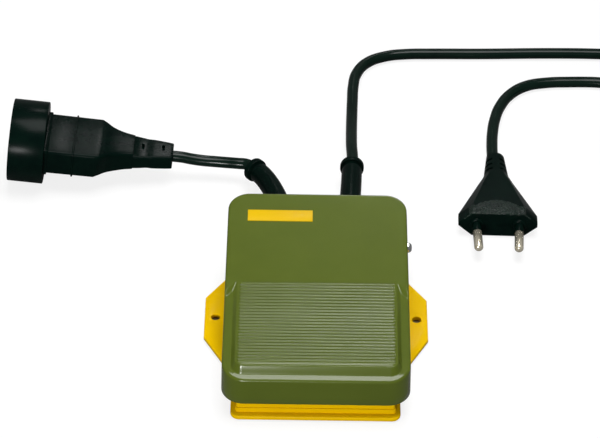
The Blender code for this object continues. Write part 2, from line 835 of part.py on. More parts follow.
def return_spring(material):
    """Compression spring between the base's seat and the cover's spring seat."""
    low = plate_top + spring_seat_height + seat_gap + spring_wire
    high = (tread_plane(spring_y) - roof_thickness - spring_cup_drop) - seat_gap - spring_wire
    steps = 10
    closing = 0.85           # flat turn at each end
    total = spring_turns + 2 * closing
    points = []
    for index in range(round(total * steps) + 1):
        turn = index / steps
        share = min(max((turn - closing) / spring_turns, 0.0), 1.0)
        wire_rise = 2 * spring_wire + 0.0005
        flat = wire_rise * min(turn, closing) / closing
        flat_end = wire_rise * max(turn - closing - spring_turns, 0.0) / closing
        z = low + flat + share * (high - low - 2 * wire_rise) + flat_end
        angle = 2 * math.pi * turn
        points.append((spring_radius * math.cos(angle), spring_y + spring_radius * math.sin(angle), z))
    return tube("return_spring", points, spring_wire, 1, material)


def lever_hinge():
    """Y and Z of the lever's hinge: its raised tip just clears the cover's roof."""
    y = switch_middle_y + switch_length / 2 - lever_hinge_inset
    tip_y = y - lever_reach * math.cos(lever_tilt)
    tip_rise = lever_reach * math.sin(lever_tilt) + lever_thickness * math.cos(lever_tilt)
    z = tread_plane(tip_y) - roof_thickness - lever_room - tip_rise
    return y, z


def switch_top():
    """Top of the switch case, just below the lever's hinge."""
    return lever_hinge()[1] - lever_hinge_rise


def switch_case(material):
    """Snap switch case with two mounting holes, a plunger well and terminal slots."""
    low = plate_top + switch_lift
    middle = switch_middle_y
    case = box("switch_case", (-switch_width / 2, middle - switch_length / 2, low),
               (switch_width / 2, middle + switch_length / 2, switch_top()), material)
    edge = case.modifiers.new("Edge rounding", "BEVEL")
    edge.width = switch_edge
    edge.segments = 1
    z = low + switch_hole_height
    for end in (-1, 1):
        y = middle + end * switch_hole_spacing / 2
        cut(case, cylinder("switch_hole", (-switch_width, y, z), (switch_width, y, z),
                           switch_screw_radius + seat_gap, 12))
    hinge_y, _ = lever_hinge()
    well_y = hinge_y - plunger_offset
    top = switch_top()
    cut(case, box("plunger_well", (-plunger_width / 2 - seat_gap, well_y - plunger_length / 2 - seat_gap,
                                   top - plunger_depth - plunger_travel - seat_gap * 2),
                  (plunger_width / 2 + seat_gap, well_y + plunger_length / 2 + seat_gap, top + 0.001)))
    for y in terminal_places():
        cut(case, box("terminal_slot", (-terminal_width / 2 - seat_gap, y - terminal_thickness / 2 - seat_gap,
                                        low - 0.001),
                      (terminal_width / 2 + seat_gap, y + terminal_thickness / 2 + seat_gap,
                       low + 0.003)))
    return case


def terminal_places():
    """Y of the common, normally closed and normally open terminals."""
    spread = switch_length * 0.26
    return [switch_middle_y + spread, switch_middle_y, switch_middle_y - spread]


def switch_terminal(name, y, material):
    low = plate_top + switch_lift
    blade = box(name, (-terminal_width / 2, y - terminal_thickness / 2, low - terminal_length),
                (terminal_width / 2, y + terminal_thickness / 2, low + 0.003 - seat_gap), material)
    eye_z = low - terminal_length / 2
    cut(blade, cylinder("terminal_eye", (0, y - 0.002, eye_z), (0, y + 0.002, eye_z), 0.0006, 12))
    return blade


def switch_plunger(material):
    hinge_y, hinge_z = lever_hinge()
    y = hinge_y - plunger_offset
    low = switch_top()
    reach = plunger_offset - plunger_length / 2
    top = hinge_z + reach * math.tan(lever_tilt) - seat_gap
    button = box("switch_plunger", (-plunger_width / 2, y - plunger_length / 2, low - plunger_depth),
                 (plunger_width / 2, y + plunger_length / 2, top), material)
    edge = button.modifiers.new("Edge rounding", "BEVEL")
    edge.width = 0.0003
    edge.segments = 2
    return button


def switch_lever(material):
    """Sheet lever with a curled hinge end, drawn lying along -Y and tilted up about its hinge."""
    hinge_y, hinge_z = lever_hinge()
    half = lever_width / 2
    curl = 0.0005
    profile = [(-lever_reach, 0.0), (curl, 0.0), (curl * 1.6, curl), (curl, lever_thickness + curl * 0.6),
               (0.0, lever_thickness), (-lever_reach, lever_thickness)]
    rings = []
    for x in (-half, half):
        ring = []
        for y, z in profile:
            along = -y
            ring.append((x, hinge_y - along * math.cos(lever_tilt) + z * math.sin(lever_tilt),
                         hinge_z + along * math.sin(lever_tilt) + z * math.cos(lever_tilt)))
        rings.append(ring)
    return loft("switch_lever", rings, material)


def switch_screw(name, y, material):
    z = plate_top + switch_lift + switch_hole_height
    seat = switch_width / 2 + seat_gap
    return pan_screw(name, (seat, y, z), (-1, 0, 0), switch_head_radius, switch_head_height,
                     switch_screw_radius, switch_width + switch_wall + seat_gap * 2, material)


def pivot_screw(material):
    """Screw that the cover turns on at the right; its head shows on the side wall."""
    seat = cover_side(pivot_y, pivot_z) + seat_gap
    tip = tray_half_width - post_depth + 0.001
    return pan_screw("pivot_screw", (seat, pivot_y, pivot_z), (-1, 0, 0), screw_head_radius,
                     screw_head_height, pivot_radius, seat - tip, material)


def pivot_pin(material):
    """Fixed pin in the left post, over which the cover's left boss is hooked."""
    start = tray_half_width - post_depth + 0.001
    end = tray_half_width + running_gap + pin_hold
    profile = [(0.0, pivot_radius * 0.8), (0.0004, pivot_radius), (end - start - 0.0004, pivot_radius),
               (end - start, pivot_radius * 0.8)]
    return turned("pivot_pin", profile, (-start, pivot_y, pivot_z), (-1, 0, 0), 16, material)


def cord_clamp(name, side, material):
    """Bar that holds the cord down on its saddle, with two screw holes and a hollow for the cord."""
    middle = side * gland_x
    low = gland_z + cord_radius * 0.55
    top = gland_z + cord_radius + seat_gap + clamp_thickness
    bar = box(name, (middle - clamp_width / 2, clamp_y - clamp_depth / 2, low),
              (middle + clamp_width / 2, clamp_y + clamp_depth / 2, top), material)
    cut(bar, cylinder("clamp_hollow", (middle, clamp_y - clamp_depth, gland_z),
                      (middle, clamp_y + clamp_depth, gland_z), cord_radius + seat_gap, 24))
    for end in (-1, 1):
        x = middle + end * clamp_screw_spacing / 2
        cut(bar, cylinder("clamp_drill", (x, clamp_y, low - 0.001), (x, clamp_y, top + 0.001),
                          clamp_screw_radius + seat_gap, 12))
    return bar


def clamp_screw(name, side, end, material):
    x = side * gland_x + end * clamp_screw_spacing / 2
    seat = gland_z + cord_radius + clamp_thickness + 2 * seat_gap
    return pan_screw(name, (x, clamp_y, seat), (0, 0, -1), clamp_head_radius, clamp_head_height,
                     clamp_screw_radius, seat - plate_top - 0.002, material)


def terminal_block(material):
    """Two-pole block: bores along Y for the conductors and a well over each clamping screw."""
    low = plate_top + seat_gap
    block = box("terminal_block", (-block_width / 2, block_y - block_length / 2, low),
                (block_width / 2, block_y + block_length / 2, low + block_height), material)
    edge = block.modifiers.new("Edge rounding", "BEVEL")
    edge.width = 0.0006
    edge.segments = 2
    bore_z = low + block_height * 0.36
    for side in (-1, 1):
        x = side * block_pole_spacing / 2
        cut(block, cylinder("block_bore", (x, block_y - block_length, bore_z),
                            (x, block_y + block_length, bore_z), block_bore_radius, 12))
        for end in (-1, 1):
            y = block_y + end * block_screw_spacing / 2
            cut(block, cylinder("block_well", (x, y, bore_z), (x, y, low + block_height + 0.001),
                                block_screw_radius + seat_gap, 12))
    return block


def block_screw(name, side, end, material):
    low = plate_top + seat_gap + block_height * 0.36 + block_bore_radius
    x = side * block_pole_spacing / 2
    y = block_y + end * block_screw_spacing / 2
    screw = cylinder(name, (x, y, low), (x, y, low + 0.0042), block_screw_radius, 12, material)
    slot = 0.0003
    top = low + 0.0042
    cut(screw, box("driver_slot", (x - 0.003, y - slot, top - 0.0008), (x + 0.003, y + slot, top + 0.001)))
    return screw


# ---------------------------------------------------------------- cords, boots, plug, coupling

def boot(name, route_points, material):
    """Bend protector: a flange inside the gland, a long sleeve and a bead at its outer end."""
    route = smooth_route(route_points, 0.0030)
    total = length_of(route)
    body = total - bead_length
    profile = [(0.0, boot_flange_radius), (boot_flange, boot_flange_radius)]
    steps = 14
    for step in range(steps + 1):
        share = step / steps
        profile.append((boot_flange + share * (body - boot_flange),
                        boot_root_radius + share * (boot_end_radius - boot_root_radius)))
    profile += [(body, bead_radius * 0.93), (body + bead_length * 0.14, bead_radius),
                (body + bead_length * 0.55, bead_radius), (body + bead_length * 0.85, bead_radius * 0.90),
                (total, bead_radius * 0.72)]
    return sleeve_along(name, route, profile, 20, material)


def gland_inside_y():
    return tray_half_length - gland_wall - seat_gap - boot_flange


def behind_tray(points):
    """Points whose Y is given as a distance behind the tray's back face."""
    return [(x, tray_half_length + y, z) for x, y, z in points]


def supply_boot_route():
    return [(gland_x, gland_inside_y(), gland_z)] + behind_tray([
        (gland_x, 0.0027, 0.0130), (0.0143, 0.0147, 0.0127), (0.0148, 0.0287, 0.0121),
        (0.0154, 0.0427, 0.0112), (0.0158, 0.0553, 0.0103)])


def output_boot_route():
    return [(-gland_x, gland_inside_y(), gland_z)] + behind_tray([
        (-gland_x, 0.0027, 0.0130), (-0.0149, 0.0137, 0.0128), (-0.0166, 0.0237, 0.0124),
        (-0.0193, 0.0332, 0.0119), (-0.0228, 0.0420, 0.0114), (-0.0260, 0.0476, 0.0110),
        (-0.0293, 0.0516, 0.0107)])


def beyond(points, distance):
    """A point past the last one, straight on along the last stretch."""
    last = Vector(points[-1])
    return last + (last - Vector(points[-2])).normalized() * distance


def supply_near_route():
    """From the supply boot away over the floor and round to the right, to the coil."""
    start = supply_boot_route()
    return [beyond(start, seat_gap), beyond(start, 0.006)] + behind_tray([
        (0.0157, 0.0722, 0.0082), (0.0158, 0.0867, 0.0054), (0.0161, 0.1007, 0.0034),
        (0.0165, 0.1147, cord_lie), (0.0173, 0.1277, cord_lie), (0.0205, 0.1392, cord_lie),
        (0.0290, 0.1469, cord_lie), (0.0410, 0.1502, cord_lie), (0.0560, 0.1510, cord_lie),
        (0.0800, 0.1515, cord_lie), (0.1050, 0.1525, cord_lie), (0.1260, 0.1529, cord_lie),
        (0.1450, 0.1527, cord_lie), (0.1700, 0.1531, cord_lie)]) + [
        (0.1900, coil_y + coil_radius_at(0.0), cord_lie), coil_entry(1.0)]


def coil_radius_at(turns):
    """Radius of the spiral's first layer after some turns."""
    return coil_inner_radius + coil_pitch * (coil_turns - turns)


def coil_entry(lengths):
    """A point straight before the coil's first turn, a number of cord diameters away."""
    outer = coil_radius_at(0.0)
    return (coil_x - lengths * 2 * cord_radius - seat_gap, coil_y + outer, cord_lie)


def coil_points():
    """Loops that spiral in and out again, climbing a layer in the half turn between."""
    per_turn = 24
    points = []
    angle = coil_start
    radius = coil_radius_at(0.0)
    z = cord_lie
    points.append((coil_x - 2 * cord_radius, coil_y + radius, z))
    for layer in range(coil_layers):
        inward = layer % 2 == 0
        turns = coil_turns if layer < coil_layers - 1 else coil_last_turns
        steps = round(turns * per_turn)
        for step in range(steps):
            points.append((coil_x + radius * math.cos(angle), coil_y + radius * math.sin(angle), z))
            angle -= 2 * math.pi / per_turn
            radius += (-coil_pitch if inward else coil_pitch) / per_turn
        if layer < coil_layers - 1:
            half = per_turn // 2
            for step in range(half):
                points.append((coil_x + radius * math.cos(angle), coil_y + radius * math.sin(angle),
                               z + coil_pitch * step / half))
                angle -= 2 * math.pi / per_turn
            z += coil_pitch
    points.append((coil_x + radius * math.cos(angle), coil_y + radius * math.sin(angle), z))
    heading = Vector((math.sin(angle), -math.cos(angle), 0.0))
    points.append(tuple(Vector(points[-1]) + heading * 2 * cord_radius))
    return [Vector(point) for point in points]


def least_self_gap(points, radius):
    """Smallest gap between stretches of one tube that don't adjoin along it."""
    fine = []
    for here, there in zip(points, points[1:]):
        fine += [here.lerp(there, share / 3) for share in range(3)]
    fine.append(points[-1])
    lengths = [0.0]
    for here, there in zip(fine, fine[1:]):
        lengths.append(lengths[-1] + (there - here).length)
    least = 1.0
    for index, here in enumerate(fine):
        for other in range(index + 1, len(fine)):
            if lengths[other] - lengths[index] > 8 * radius:
                least = min(least, (fine[other] - here).length)
    return least - 2 * radius


def supply_far_route(coil):
    """From the coil's top layer down to the floor and in to the plug."""
    end = plug_local(-cord_aside, 0.0, plug_length)
    toward = plug_local(-cord_aside, 0.0, plug_length + 0.010)
    heading = (coil[-1] - coil[-2]).normalized()
    drop = coil[-1].z - cord_lie
    ramp = [(0.007, 1.0), (0.016, 0.96), (0.025, 0.80), (0.034, 0.55), (0.043, 0.30)]
    down = []
    for along, share in ramp:
        point = coil[-1] + heading * along
        point.z = cord_lie + drop * share
        down.append(point)
    return ([coil[-1] + heading * seat_gap] + down
            + behind_tray([(0.1470, 0.1272, 0.0047), (0.1370, 0.1297, cord_lie + 0.0003),
                           (0.1260, 0.1301, cord_lie), (0.1140, 0.1296, cord_lie),
                           (0.1040, 0.1282, cord_lie), (0.0970, 0.1250, cord_lie),
                           (0.0914, 0.1197, cord_lie), (0.0869, 0.1122, cord_lie),
                           (0.0839, 0.1035, cord_lie), (0.0819, 0.0930, 0.0030)])
            + [toward, end + (toward - end).normalized() * seat_gap])


def plug_frame():
    """Turns the plug's own axes (x across, y up, z back along the body) into the part's."""
    back = Vector((0.0, 1.0, 0.0))
    up = Vector((0.0, 0.0, 1.0))
    across = up.cross(back) * -1.0
    turn = Matrix((across, up, back)).transposed()
    yaw = Matrix.Rotation(plug_yaw, 3, "Z")
    pitch = Matrix.Rotation(-plug_pitch, 3, "X")
    return yaw @ pitch @ turn


def plug_local(x, y, z):
    lift = (plug_thickness / 2 * math.cos(plug_pitch) + plug_shoulder * math.sin(plug_pitch)
            + floor_lift)
    return Vector((plug_x, plug_face_y, lift)) + plug_frame() @ Vector((x, y, z))


def plug_section(half_width, half_height, flat, roundness, z):
    """Six-sided section of the plug, blended towards an ellipse for the strain relief."""
    corners = [(half_width, 0.0), (flat, half_height), (-flat, half_height), (-half_width, 0.0),
               (-flat, -half_height), (flat, -half_height)]
    edges = [3, 2, 3, 3, 2, 3]
    flat_points = []
    for index, pieces in enumerate(edges):
        start = corners[index]
        end = corners[(index + 1) % 6]
        for piece in range(pieces):
            share = piece / pieces
            flat_points.append((start[0] + (end[0] - start[0]) * share,
                                start[1] + (end[1] - start[1]) * share))
    ring = []
    for index, (x, y) in enumerate(flat_points):
        angle = 2 * math.pi * index / len(flat_points)
        round_x = half_width * math.cos(angle)
        round_y = half_height * math.sin(angle)
        ring.append(plug_local(x + (round_x - x) * roundness, y + (round_y - y) * roundness, z))
    return ring


def plug_body(material):
    """Flat two-pin plug: six-sided face, sloping shoulders and a slotted strain relief."""
    half = plug_width / 2
    thick = plug_thickness / 2
    flat = plug_flat / 2
    root = plug_length - relief_length
    root_half = relief_root_width / 2
    end_half = relief_end_width / 2
    end_thick = relief_end_thickness / 2
    sections = [(half - 0.0004, thick - 0.0004, flat, 0.0, 0.0), (half, thick, flat, 0.0, 0.0006),
                (half, thick, flat, 0.0, plug_shoulder)]
    for share in (0.34, 0.68):
        sections.append((half + (root_half - half) * share, thick - share * plug_thinning,
                         flat + (root_half * 0.6 - flat) * share, 0.1 * share,
                         plug_shoulder + (root - plug_shoulder) * share))
    sections += [(root_half, thick - plug_thinning, root_half * 0.6, 0.6, root),
                 (root_half - 0.0002, thick - plug_thinning - 0.0004, root_half * 0.6, 0.9, root + 0.0010),
                 (end_half + 0.0004, end_thick + 0.0002, end_half * 0.6, 1.0, plug_length - 0.0014),
                 (end_half - 0.0004, end_thick - 0.0003, end_half * 0.6, 1.0, plug_length)]
    body = loft("plug_body", [plug_section(*section) for section in sections], material)
    for slot in range(relief_slots):
        z = root + 0.0027 + slot * 0.0040
        for side in (-1, 1):
            cut(body, plug_box("relief_slot", (side * 0.0017, -0.01, z), (side * 0.012, 0.01, z + 0.0012)))
    for side in (-1, 1):
        start = pin_place(side, -0.001)
        end = pin_place(side, pin_root + seat_gap)
        cut(body, cylinder("pin_socket", start, end, pin_radius + seat_gap, 20))
    return body


def plug_box(name, low, high):
    """A box drawn in the plug's own axes."""
    corners = [(low[0], low[1]), (high[0], low[1]), (high[0], high[1]), (low[0], high[1])]
    rings = [[plug_local(x, y, z) for x, y in corners] for z in (low[2], high[2])]
    return loft(name, rings)


def pin_place(side, z):
    """A point on a pin's middle line; the two lines draw together towards the tips."""
    lean = (pin_spacing - pin_tip_spacing) / 2 / pin_length
    return plug_local(side * (pin_spacing / 2 + lean * z), 0.0, z)


def plug_pin(name, side, material):
    """Turned pin: a thin root and neck inside the sleeve, and a full-size domed tip."""
    start = pin_place(side, pin_root)
    along = pin_place(side, 0.0) - pin_place(side, 1.0)
    neck = pin_radius - pin_sleeve_wall - seat_gap
    tip = pin_root + pin_length
    shoulder = pin_root + pin_sleeve_length + seat_gap
    profile = [(0.0, neck), (shoulder, neck), (shoulder, pin_radius), (tip - 0.0014, pin_radius),
               (tip - 0.0005, pin_radius * 0.72), (tip, pin_radius * 0.25)]
    return turned(name, profile, start, along, 16, material)


def pin_sleeve(name, side, material):
    start = pin_place(side, pin_root - 0.001)
    along = pin_place(side, 0.0) - pin_place(side, 1.0)
    bore = pin_radius - pin_sleeve_wall
    end = pin_root - 0.001 + pin_sleeve_length
    profile = [(0.0, pin_radius), (end, pin_radius), (end, bore), (0.0, bore)]
    return turned(name, profile, start, along, 16, material, closed=True)


def coupling_frame():
    """Direction from the collar's face to the cord end, with across and up."""
    flat = Vector((coupling_tail[0] - coupling_face[0], coupling_tail[1] - coupling_face[1], 0.0))
    along = flat.normalized() * math.cos(coupling_pitch) - Vector((0, 0, math.sin(coupling_pitch)))
    across = Vector((0, 0, 1)).cross(along).normalized()
    up = along.cross(across)
    return along, across, up


def coupling_length():
    flat = Vector((coupling_tail[0] - coupling_face[0], coupling_tail[1] - coupling_face[1]))
    return flat.length / math.cos(coupling_pitch)


def coupling_local(along_by, across_by, up_by):
    """The collar's lower back rim rests on the floor and carries the coupling."""
    along, across, up = coupling_frame()
    lift = collar_radius * math.cos(coupling_pitch) + collar_length * math.sin(coupling_pitch)
    face = Vector((coupling_face[0], tray_half_length + coupling_face[1], lift))
    return face + along * along_by + across * across_by + up * up_by


def coupling_section(place, width, thickness, corner):
    outline = rounded_rectangle(width / 2, thickness / 2, corner, 3)
    return [coupling_local(place, across, up) for across, up in outline]


def coupling_body(material):
    """Round collar, flat grip with a thin raised rib, and a waist that steps down to a slotted tail."""
    width = coupling_width
    thick = coupling_thickness
    total = coupling_length()
    taper = total - coupling_straight
    start = collar_length - 0.004
    rib = coupling_straight * 0.714
    narrow = width - coupling_narrowing
    middle = (width + narrow) / 2
    sections = [(start, width + 0.0012, thick + 0.0012), (collar_length + coupling_flange, width + 0.0012, thick + 0.0012),
                (collar_length + coupling_flange, width, thick), (rib - 0.0004, middle, thick),
                (rib - 0.0004, middle + 0.0010, thick + 0.0010), (rib + 0.0004, middle + 0.0010, thick + 0.0010),
                (rib + 0.0004, middle, thick), (coupling_straight, narrow, thick)]
    waist = [(0.07, 0.84, 0.88), (0.136, 0.645, 0.73), (0.205, 0.50, 0.63), (0.27, 0.40, 0.56),
             (0.347, 0.314, 0.49), (0.45, 0.244, 0.41), (0.459, 0.267, 0.05), (0.574, 0.256, -0.10),
             (0.65, 0.20, -0.07), (0.737, 0.15, 0.02), (0.98, 0.02, 0.0), (1.0, -0.04, -0.05)]
    for share, wide_share, thick_share in waist:
        sections.append((coupling_straight + taper * share, tail_width + (narrow - tail_width) * wide_share,
                         tail_thickness + (thick - tail_thickness) * thick_share))
    rings = [coupling_section(place, wide, tall, 0.0012 if place > coupling_straight + taper / 2 else 0.0018)
             for place, wide, tall in sections]
    body = loft("coupling_body", rings, material)
    along, _, _ = coupling_frame()
    collar = turned("collar", [(0.0, collar_radius - 0.0005), (0.0005, collar_radius),
                               (collar_length - 0.0005, collar_radius), (collar_length, collar_radius - 0.0005)],
                    coupling_local(0, 0, 0), along, 48)
    join(body, collar)
    pocket = cylinder("insert_pocket", coupling_local(-0.001, 0, 0), coupling_local(insert_depth, 0, 0),
                      insert_radius, 36)
    cut(body, pocket)
    for share in (0.583, 0.861):
        place = coupling_straight + taper * share
        corners = [(-0.0026, 0.0012), (0.0026, 0.0012), (0.0026, 0.010), (-0.0026, 0.010)]
        rings = [[coupling_local(x, across, up) for across, up in corners]
                 for x in (place - 0.0006, place + 0.0006)]
        cut(body, loft("tail_slot", rings))
    return body


def coupling_insert(material):
    """Disc that fills the collar's pocket and holds the contacts behind two pin holes."""
    along, _, _ = coupling_frame()
    depth = insert_depth - seat_gap
    edge = 0.0004
    insert = turned("coupling_insert", [(0.0, insert_radius - seat_gap - edge), (edge, insert_radius - seat_gap),
                                        (depth, insert_radius - seat_gap)],
                    coupling_local(0, 0, 0), along, 36, material)
    for side in (-1, 1):
        across = side * pin_spacing / 2
        entry = cylinder("contact_entry", coupling_local(-0.001, across, 0),
                         coupling_local(contact_entry + 0.0005, across, 0), contact_hole_radius, 16)
        seat = cylinder("contact_seat", coupling_local(contact_entry, across, 0),
                        coupling_local(insert_depth + 0.001, across, 0), contact_sleeve_radius + seat_gap, 16)
        cut(insert, entry)
        cut(insert, seat)
    return insert


def contact_sleeve(name, side, material):
    along, _, _ = coupling_frame()
    start = coupling_local(contact_entry + seat_gap, side * pin_spacing / 2, 0)
    profile = [(0.0, contact_sleeve_radius), (contact_sleeve_length, contact_sleeve_radius),
               (contact_sleeve_length, contact_sleeve_bore), (0.0, contact_sleeve_bore)]
    return turned(name, profile, start, along, 16, material, closed=True)


def output_cord_route():
    """Short lead from the output boot to the coupling's tail, shown end to end."""
    start = output_boot_route()
    total = coupling_length()
    return [beyond(start, seat_gap), beyond(start, 0.0035)] + behind_tray([
        (-0.0365, 0.0552, 0.0104), (-0.0445, 0.0563, 0.0102), (-0.0540, 0.0567, 0.0108)]) + [
        coupling_local(total + 0.004, 0, 0), coupling_local(total + seat_gap, 0, 0)]


def cord_inside(name, side, material):
    """The cord's end inside the base, from its boot through the clamp."""
    start = gland_inside_y() - seat_gap
    points = [Vector((side * gland_x, start + (cord_end_y - start) * share, gland_z))
              for share in (0.0, 0.5, 1.0)]
    return tube(name, points, cord_radius, 3, material)


def build():
    clear_scene()
    yellow = make_material("yellow_plastic", "#e8b400", 0.45)
    green = make_material("green_plastic", "#5f6f28", 0.30)
    label_yellow = make_material("label_yellow", "#f2b90e", 0.40)
    black = make_material("black_plastic", "#20302c", 0.45)
    cord_black = make_material("cord_black", "#1c2a27", 0.40)
    rubber = make_material("black_rubber", "#242424", 0.80)
    chrome = make_material("bright_screw", "#d8d8d4", 0.18, 1.0)
    steel = make_material("spring_steel", "#a9aba9", 0.35, 1.0)
    brass = make_material("brass", "#c9a24a", 0.35, 1.0)
    nickel = make_material("nickel_plated", "#d9d6cd", 0.22, 1.0)
    red = make_material("red_plastic", "#b02418", 0.40)
    white = make_material("white_plastic", "#dedbd0", 0.55)
    case_grey = make_material("switch_case_plastic", "#2a2b2e", 0.50)

    base_tray(yellow)
    pedal_cover(green)
    cover_label(label_yellow)
    for number, (side, end) in enumerate([(-1, -1), (1, -1), (-1, 1), (1, 1)], 1):
        rubber_foot(f"rubber_foot_{number}", side * (base_width / 2 - foot_inset),
                    end * (base_length / 2 - foot_inset), rubber)
    pivot_screw(chrome)
    pivot_pin(steel)
    return_spring(steel)

    switch_case(case_grey)
    switch_plunger(red)
    switch_lever(steel)
    names = ["switch_terminal_common", "switch_terminal_closed", "switch_terminal_open"]
    for name, y in zip(names, terminal_places()):
        switch_terminal(name, y, brass)
    for number, end in enumerate((-1, 1), 1):
        switch_screw(f"switch_screw_{number}", switch_middle_y + end * switch_hole_spacing / 2, steel)

    terminal_block(white)
    number = 0
    for side in (-1, 1):
        for end in (-1, 1):
            number += 1
            block_screw(f"block_screw_{number}", side, end, brass)
            clamp_screw(f"clamp_screw_{number}", side, end, steel)
    cord_clamp("output_clamp", -1, black)
    cord_clamp("supply_clamp", 1, black)
    cord_inside("output_cord_end", -1, cord_black)
    cord_inside("supply_cord_end", 1, cord_black)

    boot("supply_boot", supply_boot_route(), black)
    boot("output_boot", output_boot_route(), black)
    spacing = 4 * cord_radius
    near = smooth_route(supply_near_route(), spacing)
    coil = coil_points()
    far = smooth_route(supply_far_route(coil), spacing)
    output = smooth_route(output_cord_route(), spacing * 0.7)
    tube("supply_cord", near, cord_radius, 3, cord_black)
    tube("supply_coil", coil, cord_radius, 1, cord_black)
    tube("supply_cord_to_plug", far, cord_radius, 3, cord_black)
    tube("output_cord", output, cord_radius, 3, cord_black)
    print("least gap of the coil to itself, mm:", round(least_self_gap(coil, cord_radius) * 1000, 2))
    print("lead lengths, mm:", [round(length_of(route) * 1000) for route in (near, coil, far, output)])

    plug_body(black)
    coupling_body(black)
    coupling_insert(case_grey)
    for word, side in (("left", -1), ("right", 1)):
        plug_pin(f"plug_pin_{word}", side, nickel)
        pin_sleeve(f"pin_sleeve_{word}", side, black)
        contact_sleeve(f"contact_sleeve_{word}", side, brass)


build()
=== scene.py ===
# Dresses the foot switch: camera, leads, pedal cover, base, plug, coupling, materials, light.
# Lengths are metres, in the model's own frame: X right, Y to the back, Z up.

import math

import bmesh
import bpy
import numpy as np
from mathutils import Matrix, Vector


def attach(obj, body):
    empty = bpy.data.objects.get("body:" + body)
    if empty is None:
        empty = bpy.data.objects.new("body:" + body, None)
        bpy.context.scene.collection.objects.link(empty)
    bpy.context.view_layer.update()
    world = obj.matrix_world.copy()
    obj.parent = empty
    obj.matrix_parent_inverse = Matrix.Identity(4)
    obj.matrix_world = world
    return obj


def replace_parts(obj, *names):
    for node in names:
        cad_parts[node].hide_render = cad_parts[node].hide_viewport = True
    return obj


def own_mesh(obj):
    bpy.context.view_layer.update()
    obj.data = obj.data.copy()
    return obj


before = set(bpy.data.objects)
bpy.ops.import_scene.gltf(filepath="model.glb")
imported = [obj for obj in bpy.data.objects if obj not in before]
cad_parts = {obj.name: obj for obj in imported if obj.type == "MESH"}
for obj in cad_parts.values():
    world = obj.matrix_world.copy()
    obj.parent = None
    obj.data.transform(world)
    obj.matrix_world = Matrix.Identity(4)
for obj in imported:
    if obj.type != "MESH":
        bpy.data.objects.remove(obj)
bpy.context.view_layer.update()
print("stage: frame loaded")


# Colours, materials

def linearColour(hexColour):
    # sRGB hex to linear: c/12.92 below 0.04045, else ((c+0.055)/1.055)^2.4
    parts = [int(hexColour[i:i + 2], 16) / 255 for i in (1, 3, 5)]
    return tuple(c / 12.92 if c <= 0.04045 else ((c + 0.055) / 1.055) ** 2.4 for c in parts) + (1.0,)


def addNode(tree, kind, sockets=None, links=None):
    # sockets set the node's inputs; links feed inputs, by name or number, from outputs
    node = tree.nodes.new(kind)
    for name, value in (sockets or {}).items():
        node.inputs[name].default_value = value
    for name, output in (links or {}).items():
        tree.links.new(output, node.inputs[name])
    return node


def colourRamp(tree, factor, low, high, look):
    # dark below low, light above high, an even run between
    ramp = addNode(tree, "ShaderNodeValToRGB", links={"Fac": factor})
    for element, place, shade in zip(ramp.color_ramp.elements, (low, high), ("dark", "light")):
        element.position, element.color = place, linearColour(look[shade])
    return ramp.outputs["Color"]


def noise(tree, place, scale, detail, roughness=0.5):
    return addNode(tree, "ShaderNodeTexNoise", {"Scale": scale, "Detail": detail, "Roughness": roughness},
                   {"Vector": place}).outputs["Fac"]


def grey(value):
    return (value, value, value, 1.0)


def newSurface(name):
    # a material, its tree, its shader's inputs and the place in the object's own coordinates
    made = bpy.data.materials.new(name)
    made.use_nodes = True
    tree = made.node_tree
    place = addNode(tree, "ShaderNodeTexCoord").outputs["Object"]
    return made, tree, tree.nodes["Principled BSDF"].inputs, place


def fillShader(tree, inputs, colour, polish, roughness, height, strength, depth):
    # colour, a roughness between two values, and a bump of the given depth in metres
    gloss = addNode(tree, "ShaderNodeMapRange", {"From Min": 0.3, "From Max": 0.7, "To Min": roughness[0],
                                                 "To Max": roughness[1]}, {"Value": polish})
    bump = addNode(tree, "ShaderNodeBump", {"Strength": strength, "Distance": depth}, {"Height": height})
    tree.links.new(colour, inputs["Base Color"])
    tree.links.new(gloss.outputs["Result"], inputs["Roughness"])
    tree.links.new(bump.outputs["Normal"], inputs["Normal"])


def mouldedPlastic(name, look):
    # Injection-moulded surface: slight mottling of the colour, a fine spark-eroded grain in the
    # bump, and a gloss that varies where hands and shoes have polished it.
    made, tree, inputs, place = newSurface(name)
    colour = colourRamp(tree, noise(tree, place, look["mottleScale"], 3.0, 0.55), 0.30, 0.70, look)
    roughness = (look["roughness"] - look["roughnessSpread"], look["roughness"] + look["roughnessSpread"])
    fillShader(tree, inputs, colour, noise(tree, place, look["polishScale"], 4.0, 0.6), roughness,
               noise(tree, place, look["grainScale"], 2.0), look["grainStrength"], look["grainDepth"])
    inputs["IOR"].default_value = look["ior"]
    inputs["Specular IOR Level"].default_value = look["specular"]
    return made


def metal(name, look):
    # Metal: base tint, roughness broken by fine lines or specks, default IOR.
    made, tree, inputs, place = newSurface(name)
    stretch = addNode(tree, "ShaderNodeMapping", {"Scale": look["stretch"]}, {"Vector": place})
    marks = noise(tree, stretch.outputs["Vector"], look["markScale"], 3.0)
    fillShader(tree, inputs, colourRamp(tree, marks, 0.35, 0.65, look), marks,
               (look["roughness"] * 0.75, look["roughness"] * 1.3), marks, look["markStrength"], 0.00002)
    inputs["Metallic"].default_value = look["metallic"]
    return made


def looks(keys, rows):
    # each row's values under the keys
    return {name: dict(zip(keys.split(), row)) for name, row in rows.items()}


